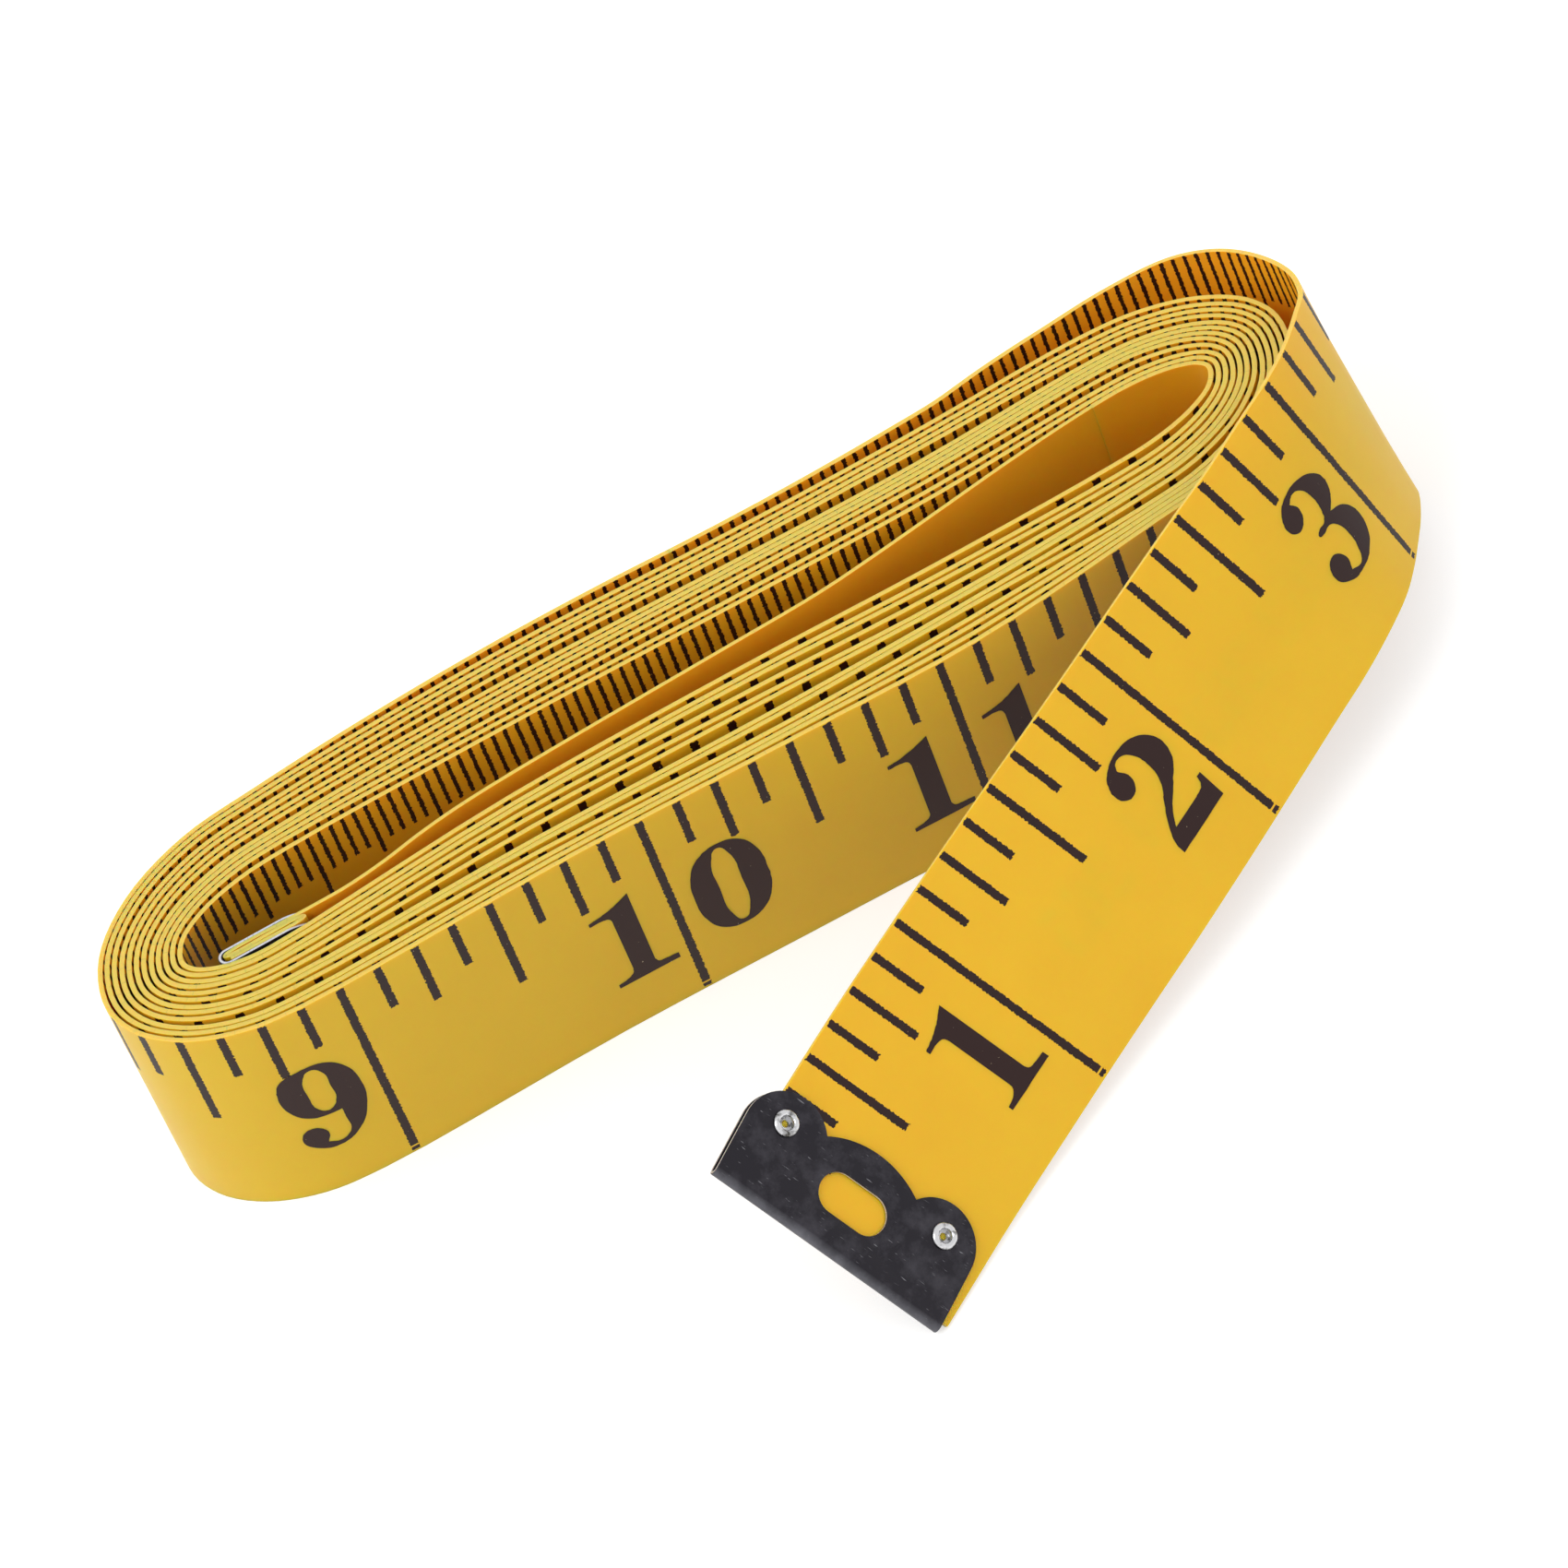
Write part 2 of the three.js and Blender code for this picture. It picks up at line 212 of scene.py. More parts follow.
# Rises from 0 to 1 over one range and falls again over another
def hump(value, rise, fall):
    return smoothStep(value, *rise) * (1 - smoothStep(value, *fall))


def planPoint(x, y):
    return Vector((x, coil["middle"] + y, tape["width"] / 2))


# Two quarters of ellipses that meet at the end's foremost point
def endPoints(start, apex, finish):
    points = []
    for side, join in ((1, start), (-1, finish)):
        quarter = []
        for step in range(1, coil["endSteps"]):
            angle = math.pi / 2 * step / coil["endSteps"]
            x = join[0] + (apex[0] - join[0]) * math.sin(angle)
            y = apex[1] + (join[1] - apex[1]) * math.cos(angle)
            quarter.append((x, y))
        points += quarter[::side]
        if side > 0:
            points.append(apex)
    return points


def apexOf(ends, turn):
    (firstX, firstY), (lastX, lastY) = ends
    share = turn / (coil["turns"] - 1)
    return (firstX + (lastX - firstX) * share, firstY + (lastY - firstY) * share)


def windingPlaces():
    places = [innerEnd["hinge"], coil["firstBack"]]
    for turn in range(coil["turns"]):
        front = [(x, -y) for x, y in zip(coil["frontPlaces"], coil["front"][turn])][::-1]
        back = coil["lastBack"]
        if turn + 1 < coil["turns"]:
            back = list(zip(coil["backPlaces"], coil["back"][turn]))
        places += endPoints(places[-1], apexOf(coil["rightApex"], turn), front[0])
        places += front
        places += endPoints(front[-1], apexOf(coil["leftApex"], turn), back[0])
        places += back
    return places


# Bends evenly through stretches of (length, turn, twist)
def bentPath(point, across, ahead, stretches):
    stations = []
    for length, turn, twist in stretches:
        steps = math.ceil(max(length / tail["stepLength"], abs(turn) / tail["stepDegrees"]) - tiny)
        for step in range(steps):
            spin = (across * math.radians(turn) + ahead * math.radians(twist)) / steps
            rotation = Matrix.Rotation(spin.length, 3, spin) if spin.length else Matrix.Identity(3)
            nextAhead = rotation @ ahead
            point = point + (ahead + nextAhead).normalized() * length / steps
            across = rotation @ across
            ahead = nextAhead
            stations.append((point, across, ahead))
    return stations


# A curve through the stations, whose speed eases with the distance between them
def smoothPath(stations, perSpan):
    ends = [[2 * a - b for a, b in zip(stations[i], stations[j])] for i, j in ((0, 1), (-1, -2))]
    knots = [ends[0], *stations, ends[1]]
    path = []
    for i in range(1, len(knots) - 2):
        near = knots[i - 1 : i + 3]
        t1, t12, t23 = [(near[j + 1][0] - near[j][0]).length ** 0.5 for j in range(3)]
        t2 = t1 + t12
        t3 = t2 + t23
        for step in range(perSpan):
            t = t1 + t12 * step / perSpan
            station = []
            for p0, p1, p2, p3 in zip(*near):
                a1 = p0.lerp(p1, t / t1)
                a2 = p1.lerp(p2, (t - t1) / t12)
                a3 = p2.lerp(p3, (t - t2) / t23)
                station.append(a1.lerp(a2, t / t2).lerp(a2.lerp(a3, (t - t1) / (t3 - t1)), (t - t1) / t12))
            path.append((station[0], station[1].normalized()))
    path.append((stations[-1][0], stations[-1][1]))
    return path


winding = smoothPath([(planPoint(*place), up) for place in windingPlaces()], coil["perSpan"])
beforeRoot, root = [planPoint(*place) for place in coil["lastBack"][-2:]]
toHinge = bentPath(root, up, (root - beforeRoot).normalized(), tail["toHinge"])
outerHinge = toHinge[-1]
freeEnd = bentPath(*outerHinge, tail["free"])
foldPoint, foldAcross, foldAhead = freeEnd[-1]
lastStation = (foldPoint - foldAhead * tape["endInFold"], foldAcross)
outerStations = [(beforeRoot, up), (root, up), *toHinge, *freeEnd[:-1], lastStation]
outerPath = smoothPath(outerStations, tail["perSpan"])[tail["perSpan"] :]

innerFold = planPoint(*innerEnd["fold"])
innerAhead = (planPoint(*innerEnd["clipEnd"]) - innerFold).normalized()
innerPlaces = (*innerEnd["folds"], *reversed(innerEnd["route"]), innerEnd["hinge"])
innerPath = smoothPath([(planPoint(*place), up) for place in innerPlaces], innerEnd["perSpan"])


# Distance from the scale's zero at each station, which lies towards the outer end
def marksAlong(path, lastMark):
    marks = [lastMark]
    for before, after in zip(reversed(path[:-1]), reversed(path[1:])):
        marks.append(marks[-1] + (after[0] - before[0]).length)
    return marks[::-1]


# Each station moved aside, its threads turned, and its place on the print
def pulledAskew(path, distances):
    stations = []
    marks = []
    for i, (point, across) in enumerate(path):
        ahead = (path[min(i + 1, len(path) - 1)][0] - path[max(i - 1, 0)][0]).normalized()
        side = pulled["side"] * (1 - smoothStep(distances[i], 0, pulled["sideUntil"]))
        skew = pulled["skew"] * (1 - smoothStep(distances[i], 0, pulled["skewUntil"])) / tape["width"]
        nearer = hump(distances[i], outerLoop["from"], outerLoop["to"])
        towards = Vector((*outerLoop["in"], 0)) * nearer
        clear = hump(distances[i], outerLoop["outFrom"], outerLoop["outTo"])
        lean = across.cross(ahead) * clear * outerLoop["standsOut"] / tape["width"]
        towards += lean * tape["width"] / 2
        stations.append((point - across * side + towards, across + ahead * skew - lean))
        short = pulled["short"] * (1 - smoothStep(distances[i], 0, pulled["shortUntil"]))
        stretch = outerLoop["stretch"] * smoothStep(distances[i], *outerLoop["stretchFrom"])
        marks.append(distances[i] - short + stretch)
    return stations, marks


# Averages the loop's stations again and again, so that its bends run evenly into each other
def evened(path, distances):
    low, high = outerLoop["even"]
    inside = [i for i in range(1, len(path) - 1) if low < distances[i] < high]
    for _ in range(outerLoop["evenTimes"]):
        before = list(path)
        path = list(path)
        for i in inside:
            path[i] = tuple((a + b + b + c) / 4 for a, b, c in zip(*before[i - 1 : i + 2]))
    return [(point, across.normalized()) for point, across in path]


lastMark = tape["firstMark"] + pulled["short"] + tape["endInFold"]
outerPath = evened(outerPath, marksAlong(outerPath, lastMark))
outerPath, outerMarks = pulledAskew(outerPath, marksAlong(outerPath, lastMark))
windingMarks = marksAlong(winding, outerMarks[0])
innerMarks = marksAlong(innerPath, windingMarks[0])
tapeLength = innerMarks[0]
print("tape's length in mm:", round(tapeLength, 1))

# Materials


def linear(code):
    channels = [int(code[i : i + 2], 16) / 255 for i in (1, 3, 5)]
    curve = [c / 12.92 if c <= 0.04045 else ((c + 0.055) / 1.055) ** 2.4 for c in channels]
    return (*curve, 1)


def addNode(tree, kind, settings=None, links=None):
    node = tree.nodes.new("ShaderNode" + kind)
    for key, value in (settings or {}).items():
        if isinstance(key, int) or key in node.inputs:
            node.inputs[key].default_value = value
        else:
            setattr(node, key, value)
    for key, socket in (links or {}).items():
        tree.links.new(socket, node.inputs[key])
    return node


def newMaterial(name):
    material = bpy.data.materials.new(name)
    material.use_nodes = True
    material.node_tree.nodes.clear()
    return material


vinyl = {
    "inchSide": ("#EAC023", "#E0AF1D"),
    # the millimetre face is a deeper orange than the inch face: painted shade for the recesses where that
    # face is mostly seen
    "metricSideShaded": ("#E4A91C", "#DC9A17"),
    # the cut edge's pale colour is partly its own and partly a painted sheen
    "rimWithSheen": "#E8C15A",
    "rimFibre": "#CFB55C",
    "ink": "#260D0A",
    "speck": "#B8A88C",
    "roughness": 0.42,
    "through": 0.85,  # share of the light that passes into the skin, and how far it goes
    "throughReach": (0.9, 0.36, 0.1),
    "cloudSize": 14,
    "grainSize": 0.35,
    "grainHeight": 0.04,
    "grainStrength": 0.12,
    "raggedSize": 0.2,
    "ragged": 0.14,
    "weltAt": 19.35,  # from the edge that carries the marks
    "weltHalf": 0.08,
    "specular": 0.3,
    "flakeSize": 0.3125,
    "flakesFrom": 0.715,
    "inkRoughness": 0.5,
    "rimFibreSize": 0.454545,
    "rimFibresFrom": 0.56,
    "rimFibresFull": 0.7,
    "rimRoughness": 0.5,
    "rimSpecular": 0.2,
}
inchLength = 25.4
centimetre = 10
# spacing of each kind of mark and how much longer it is than the next shorter kind
inchScale = {
    "marks": ((inchLength / 8, 4.7), (inchLength / 4, 1.6), (inchLength / 2, 3.1), (inchLength, 10.4)),
    "halfWidth": 0.34,
    "start": 0.1,
    "blankFrom": tapeLength,  # printed to the inner end
    "offset": 0,
}
metricScale = {
    "marks": ((centimetre / 10, 4.3), (centimetre / 2, 1.2), (centimetre, 2.6)),
    "halfWidth": 0.17,
    "start": 0.02,
    "blankFrom": tapeLength - 125,
    "offset": 5.3,  # between a whole centimetre on this face and one from the inch scale's zero
}


# Vinyl-coated woven fibreglass: a satin yellow skin, with black screen-printed marks whose edges are ragged
# from the weave under them and which have lost tiny flakes. The map is in millimetres: x along the tape,
# y across it.
def tapeMaterial(name, scale, tints):
    material = newMaterial(name)
    tree = material.node_tree
    plan = addNode(tree, "UVMap", {"uv_map": "tapePlan"}).outputs[0]
    apart = addNode(tree, "SeparateXYZ", links={0: plan})
    along, across = apart.outputs[0], apart.outputs[1]
    clouds = addNode(
        tree,
        "TexNoise",
        {"Scale": 1 / vinyl["cloudSize"], "Detail": 4, "Roughness": 0.6},
        {"Vector": plan},
    )
    grain = addNode(tree, "TexNoise", {"Scale": 1 / vinyl["grainSize"], "Detail": 2}, {"Vector": plan})
    skin = addNode(
        tree,
        "Mix",
        {"data_type": "RGBA", 6: linear(tints[0]), 7: linear(tints[1])},
        {0: clouds.outputs["Fac"]},
    ).outputs[2]
    ragged = addNode(tree, "TexNoise", {"Scale": 1 / vinyl["raggedSize"], "Detail": 1}, {"Vector": plan})
    shift = addNode(
        tree,
        "Math",
        {"operation": "MULTIPLY_ADD", 1: 2 * vinyl["ragged"], 2: -vinyl["ragged"]},
        {0: ragged.outputs["Fac"]},
    ).outputs[0]
    moved = addNode(tree, "Math", {"operation": "ADD", 1: scale["offset"]}, {0: along}).outputs[0]
    place = addNode(tree, "Math", {"operation": "ADD"}, {0: moved, 1: shift}).outputs[0]
    height = addNode(tree, "Math", {"operation": "ADD"}, {0: across, 1: shift}).outputs[0]
    reach = None
    for spacing, longer in scale["marks"]:
        away = addNode(tree, "Math", {"operation": "PINGPONG", 1: spacing / 2}, {0: place}).outputs[0]
        near = addNode(
            tree, "Math", {"operation": "LESS_THAN", 1: scale["halfWidth"]}, {0: away}
        ).outputs[0]
        links = {0: near, 2: reach} if reach else {0: near}
        reach = addNode(tree, "Math", {"operation": "MULTIPLY_ADD", 1: longer, 2: 0}, links).outputs[0]
    inside = addNode(tree, "Math", {"operation": "LESS_THAN"}, {0: height, 1: reach}).outputs[0]
    begun = addNode(tree, "Math", {"operation": "GREATER_THAN", 1: scale["start"]}, {0: height}).outputs[0]
    printed = addNode(tree, "Math", {"operation": "MULTIPLY"}, {0: inside, 1: begun}).outputs[0]
    scaled = addNode(
        tree, "Math", {"operation": "LESS_THAN", 1: scale["blankFrom"]}, {0: along}
    ).outputs[0]
    inked = addNode(tree, "Math", {"operation": "MULTIPLY"}, {0: printed, 1: scaled}).outputs[0]
    ink = inkColour(tree, plan)
    # the skin's welt runs along the plain edge and breaks the full-width marks
    welt = addNode(
        tree, "Math", {"operation": "COMPARE", 1: vinyl["weltAt"], 2: vinyl["weltHalf"]}, {0: across}
    ).outputs[0]
    kept = addNode(
        tree, "Math", {"operation": "SUBTRACT", "use_clamp": True}, {0: inked, 1: welt}
    ).outputs[0]
    colour = addNode(tree, "Mix", {"data_type": "RGBA"}, {0: kept, 6: skin, 7: ink}).outputs[2]
    bump = addNode(
        tree,
        "Bump",
        {"Strength": vinyl["grainStrength"], "Distance": vinyl["grainHeight"] * mm},
        {"Height": grain.outputs["Fac"]},
    ).outputs[0]
    shader = addNode(
        tree,
        "BsdfPrincipled",
        {
            "Roughness": vinyl["roughness"],
            "Specular IOR Level": vinyl["specular"],
            "Subsurface Weight": vinyl["through"],
            "Subsurface Radius": vinyl["throughReach"],
            "Subsurface Scale": mm,
        },
        {"Base Color": colour, "Normal": bump},
    ).outputs[0]
    addNode(tree, "OutputMaterial", links={"Surface": shader})
    return material


# Screen ink: nearly black with a purple-brown cast, dull, with pale flakes missing
def inkColour(tree, plan):
    flakes = addNode(
        tree, "TexNoise", {"Scale": 1 / vinyl["flakeSize"], "Detail": 3, "Roughness": 0.7}, {"Vector": plan}
    )
    bare = addNode(
        tree, "Math", {"operation": "GREATER_THAN", 1: vinyl["flakesFrom"]}, {0: flakes.outputs["Fac"]}
    ).outputs[0]
    return addNode(
        tree, "Mix", {"data_type": "RGBA", 6: linear(vinyl["ink"]), 7: linear(vinyl["speck"])}, {0: bare}
    ).outputs[2]


# The cut edge of the tape: paler vinyl, partly painted sheen, with the ends of the woven core as faint dots
def rimMaterial():
    material = newMaterial("cutVinylEdgeWithSheen")
    tree = material.node_tree
    plan = addNode(tree, "UVMap", {"uv_map": "tapePlan"}).outputs[0]
    fibres = addNode(
        tree,
        "TexNoise",
        {"Scale": 1 / vinyl["rimFibreSize"], "Detail": 2, "Roughness": 0.8},
        {"Vector": plan},
    )
    dots = addNode(
        tree,
        "MapRange",
        {"From Min": vinyl["rimFibresFrom"], "From Max": vinyl["rimFibresFull"]},
        {"Value": fibres.outputs["Fac"]},
    ).outputs[0]
    colour = addNode(
        tree,
        "Mix",
        {"data_type": "RGBA", 6: linear(vinyl["rimWithSheen"]), 7: linear(vinyl["rimFibre"])},
        {0: dots},
    ).outputs[2]
    shader = addNode(
        tree,
        "BsdfPrincipled",
        {
            "Roughness": vinyl["rimRoughness"],
            "Specular IOR Level": vinyl["rimSpecular"],
            "Subsurface Weight": vinyl["through"],
            "Subsurface Radius": vinyl["throughReach"],
            "Subsurface Scale": mm,
        },
        {"Base Color": colour},
    )
    addNode(tree, "OutputMaterial", links={"Surface": shader.outputs[0]})
    return material


# The figures' ink, printed by the same screens as the marks
def figureMaterial():
    material = newMaterial("screenInk")
    tree = material.node_tree
    plan = addNode(tree, "UVMap", {"uv_map": "tapePlan"}).outputs[0]
    shader = addNode(
        tree,
        "BsdfPrincipled",
        {"Roughness": vinyl["inkRoughness"], "Specular IOR Level": vinyl["specular"]},
        {"Base Color": inkColour(tree, plan)},
    )
    addNode(tree, "OutputMaterial", links={"Surface": shader.outputs[0]})
    return material


steel = {
    "face": "#2E2C31",
    "faceWorn": "#48464C",
    "wornFrom": 0.45,
    "wornFull": 0.75,
    "cloudSize": 2.381,
    "rubbedAndShine": "#74747A",
    "rubbedAndShineUntil": 0.62,  # the fold is lighter up to this height, and most below the next: partly rubbed wear, partly a painted reflection of the bend
    "rubbedAndShineFull": 0.2,
    "scratch": "#A6A6AC",
    "scratchTurns": (0.4, 1.3, -0.7),
    "scratchLength": 1.25,
    "scratchWidth": 0.1429,
    "scratchFrom": 0.71,
    "scratchFull": 0.79,
    "scratchShare": 0.7,
    "smoothest": 0.3,
    "roughest": 0.5,
    "metallic": 0.9,
}


# Blackened sheet steel: a dark smooth finish with cloudy wear, a fold lightened partly by rubbing and
# partly by a painted reflection, and a few faint scratches
def clipMaterial():
    material = newMaterial("blackenedSteel")
    tree = material.node_tree
    place = addNode(tree, "TexCoord").outputs["Object"]
    clouds = addNode(
        tree,
        "TexNoise",
        {"Scale": 1 / (steel["cloudSize"] * mm), "Detail": 5, "Roughness": 0.65},
        {"Vector": place},
    )
    worn = addNode(
        tree,
        "MapRange",
        {"From Min": steel["wornFrom"], "From Max": steel["wornFull"]},
        {"Value": clouds.outputs["Fac"]},
    ).outputs[0]
    face = addNode(
        tree,
        "Mix",
        {"data_type": "RGBA", 6: linear(steel["face"]), 7: linear(steel["faceWorn"])},
        {0: worn},
    ).outputs[2]
    # the map is in millimetres: x across the tape, y from the fold
    plan = addNode(tree, "UVMap", {"uv_map": "clipPlan"}).outputs[0]
    height = addNode(tree, "SeparateXYZ", links={0: plan}).outputs[1]
    # lighter in patches towards the fold: partly rubbed wear, partly a painted reflection of the bend
    rubbedAndShine = addNode(
        tree,
        "MapRange",
        {"From Min": steel["rubbedAndShineUntil"], "From Max": steel["rubbedAndShineFull"]},
        {"Value": height},
    ).outputs[0]
    patchy = addNode(
        tree, "Math", {"operation": "MULTIPLY"}, {0: rubbedAndShine, 1: clouds.outputs["Fac"]}
    ).outputs[0]
    folded = addNode(
        tree, "Mix", {"data_type": "RGBA", 7: linear(steel["rubbedAndShine"])}, {0: patchy, 6: face}
    ).outputs[2]
    scratched = None
    for turn in steel["scratchTurns"]:
        perMm = (1 / steel["scratchLength"], 1 / steel["scratchWidth"], 1)
        stretched = addNode(
            tree, "Mapping", {"Rotation": (0, 0, turn), "Scale": perMm}, {"Vector": plan}
        ).outputs[0]
        lines = addNode(
            tree, "TexNoise", {"Scale": 1, "Detail": 2, "Distortion": 0.3}, {"Vector": stretched}
        )
        seen = addNode(
            tree,
            "MapRange",
            {
                "From Min": steel["scratchFrom"],
                "From Max": steel["scratchFull"],
                "To Max": steel["scratchShare"],
            },
            {"Value": lines.outputs["Fac"]},
        ).outputs[0]
        if scratched:
            seen = addNode(tree, "Math", {"operation": "MAXIMUM"}, {0: seen, 1: scratched}).outputs[0]
        scratched = seen
    colour = addNode(
        tree, "Mix", {"data_type": "RGBA", 7: linear(steel["scratch"])}, {0: scratched, 6: folded}
    ).outputs[2]
    roughness = addNode(
        tree,
        "MapRange",
        {"To Min": steel["smoothest"], "To Max": steel["roughest"]},
        {"Value": clouds.outputs["Fac"]},
    ).outputs[0]
    shader = addNode(
        tree,
        "BsdfPrincipled",
        {"Metallic": steel["metallic"]},
        {"Base Color": colour, "Roughness": roughness},
    )
    addNode(tree, "OutputMaterial", links={"Surface": shader.outputs[0]})
    return material


cutEdgeAndHighlight = {
    # pale, so that the edge shows as a thin bright line all round: bare steel with a painted highlight
    "colour": "#C9C9CE",
    "markSize": 0.4,
    "smoothest": 0.18,
    "roughest": 0.42,
    "metallic": 0.4,
}


# Bare steel where the sheet was cut, pale enough to read as a painted highlight all round the clip, with
# fine shear marks
def cutSteelMaterial():
    material = newMaterial("cutSteelEdgeAndHighlight")
    tree = material.node_tree
    place = addNode(tree, "TexCoord").outputs["Object"]
    marks = addNode(
        tree, "TexNoise", {"Scale": 1 / (cutEdgeAndHighlight["markSize"] * mm), "Detail": 2}, {"Vector": place}
    )
    roughness = addNode(
        tree,
        "MapRange",
        {"To Min": cutEdgeAndHighlight["smoothest"], "To Max": cutEdgeAndHighlight["roughest"]},
        {"Value": marks.outputs["Fac"]},
    ).outputs[0]
    shader = addNode(
        tree,
        "BsdfPrincipled",
        {"Base Color": linear(cutEdgeAndHighlight["colour"]), "Metallic": cutEdgeAndHighlight["metallic"]},
        {"Roughness": roughness},
    )
    addNode(tree, "OutputMaterial", links={"Surface": shader.outputs[0]})
    return material


plating = {
    "colour": "#D2D2D4",
    # dark random patches: partly dirt, partly painted shade standing in for the darker bore
    "dirtAndShade": "#4E4C48",
    "dirtAndShadeSize": 0.625,
    "dirtAndShadeFrom": 0.5,
    "dirtAndShadeFull": 0.68,
    "smoothest": 0.16,
    "roughest": 0.36,
}


# Nickel-plated brass, rolled over by the setting tool: shiny, darkened in random patches that are partly
# dirt and partly painted shade
def eyeletMaterial():
    material = newMaterial("nickelPlate")
    tree = material.node_tree
    place = addNode(tree, "TexCoord").outputs["Object"]
    dirtAndShade = addNode(
        tree, "TexNoise", {"Scale": 1 / (plating["dirtAndShadeSize"] * mm), "Detail": 3}, {"Vector": place}
    )
    dirtyAndShaded = addNode(
        tree,
        "MapRange",
        {"From Min": plating["dirtAndShadeFrom"], "From Max": plating["dirtAndShadeFull"]},
        {"Value": dirtAndShade.outputs["Fac"]},
    ).outputs[0]
    colour = addNode(
        tree,
        "Mix",
        {"data_type": "RGBA", 6: linear(plating["colour"]), 7: linear(plating["dirtAndShade"])},
        {0: dirtyAndShaded},
    ).outputs[2]
    roughness = addNode(
        tree,
        "MapRange",
        {"To Min": plating["smoothest"], "To Max": plating["roughest"]},
        {"Value": dirtAndShade.outputs["Fac"]},
    ).outputs[0]
    shader = addNode(
        tree, "BsdfPrincipled", {"Metallic": 1}, {"Base Color": colour, "Roughness": roughness}
    )
    addNode(tree, "OutputMaterial", links={"Surface": shader.outputs[0]})
    return material


inchMaterial = tapeMaterial("yellowVinylInches", inchScale, vinyl["inchSide"])
metricMaterial = tapeMaterial("yellowVinylMillimetres", metricScale, vinyl["metricSideShaded"])
edgeMaterial = rimMaterial()
screenInk = figureMaterial()
blackSteel = clipMaterial()
cutSteelAndHighlight = cutSteelMaterial()
nickel = eyeletMaterial()
print("materials made")

# Tape


def finished(obj, smoothAngle):
    obj.data = bpy.data.meshes.new_from_object(obj.evaluated_get(bpy.context.evaluated_depsgraph_get()))
    obj.modifiers.clear()
    obj.data.polygons.foreach_set("use_smooth", [True] * len(obj.data.polygons))
    obj.data.set_sharp_from_angle(angle=math.radians(smoothAngle))
    return obj


def newObject(name, bm, materials):
    mesh = bpy.data.meshes.new(name)
    bm.to_mesh(mesh)
    bm.free()
    for material in materials:
        mesh.materials.append(material)
    obj = bpy.data.objects.new(name, mesh)
    bpy.context.scene.collection.objects.link(obj)
    return obj


# A grid laid along the path, given its thickness on both sides
def makeTape(name, thickness, path, marks):
    columns = tape["columns"]
    bm = bmesh.new()
    bmesh.ops.create_grid(bm, x_segments=len(path) - 1, y_segments=columns, size=0.5)
    plan = bm.loops.layers.uv.new("tapePlan")
    for face in bm.faces:
        for loop in face.loops:
            station = round((loop.vert.co.x + 0.5) * (len(path) - 1))
            loop[plan].uv = (marks[station], (loop.vert.co.y + 0.5) * tape["width"])
    for vert in bm.verts:
        point, across = path[round((vert.co.x + 0.5) * (len(path) - 1))]
        vert.co = (point - across * vert.co.y * tape["width"]) * mm
    obj = newObject(name, bm, [inchMaterial, metricMaterial, edgeMaterial])
    solidify = obj.modifiers.new("thickness", "SOLIDIFY")
    solidify.thickness = thickness * mm
    solidify.offset = 0
    solidify.material_offset = 1
    solidify.material_offset_rim = 2
    return finished(obj, tape["smoothAngle"])


windingTape = makeTape("windingTape", tape["thickness"]["winding"], winding, windingMarks)
outerTape = makeTape("outerTape", tape["thickness"]["outer"], outerPath, outerMarks)
innerTape = makeTape("innerTape", tape["thickness"]["inner"], innerPath, innerMarks)
print("tape made")

# Figures: fat-faced, printed beside their marks

figures = {
    "baseline": 15.45,  # from the edge that carries the marks
    "beside": 1.5,  # between a figure and the middle of its line
    "lift": 0.02,
    "tensBeside": 1.1,  # the same for the two digits of a number from ten on
    "onesBeside": 1.6,
    "metricHeight": 0.5,  # share of the inch figures' height
    "metricWidth": 0.4,
    "metricBaseline": 13.6,
    "metricBeside": 4.9,
    "metricGap": 0.35,
    "shake": 0.04,  # how far the print's edge strays, and over what length
    "shakeSize": 0.2,
    "curveSteps": 6,
    # the first and the last inch on each piece, and the marks between which centimetres are printed
    "outerInches": (1, 5),
    "windingInches": (6, 12),
    "metricMarks": (15, 130),
}
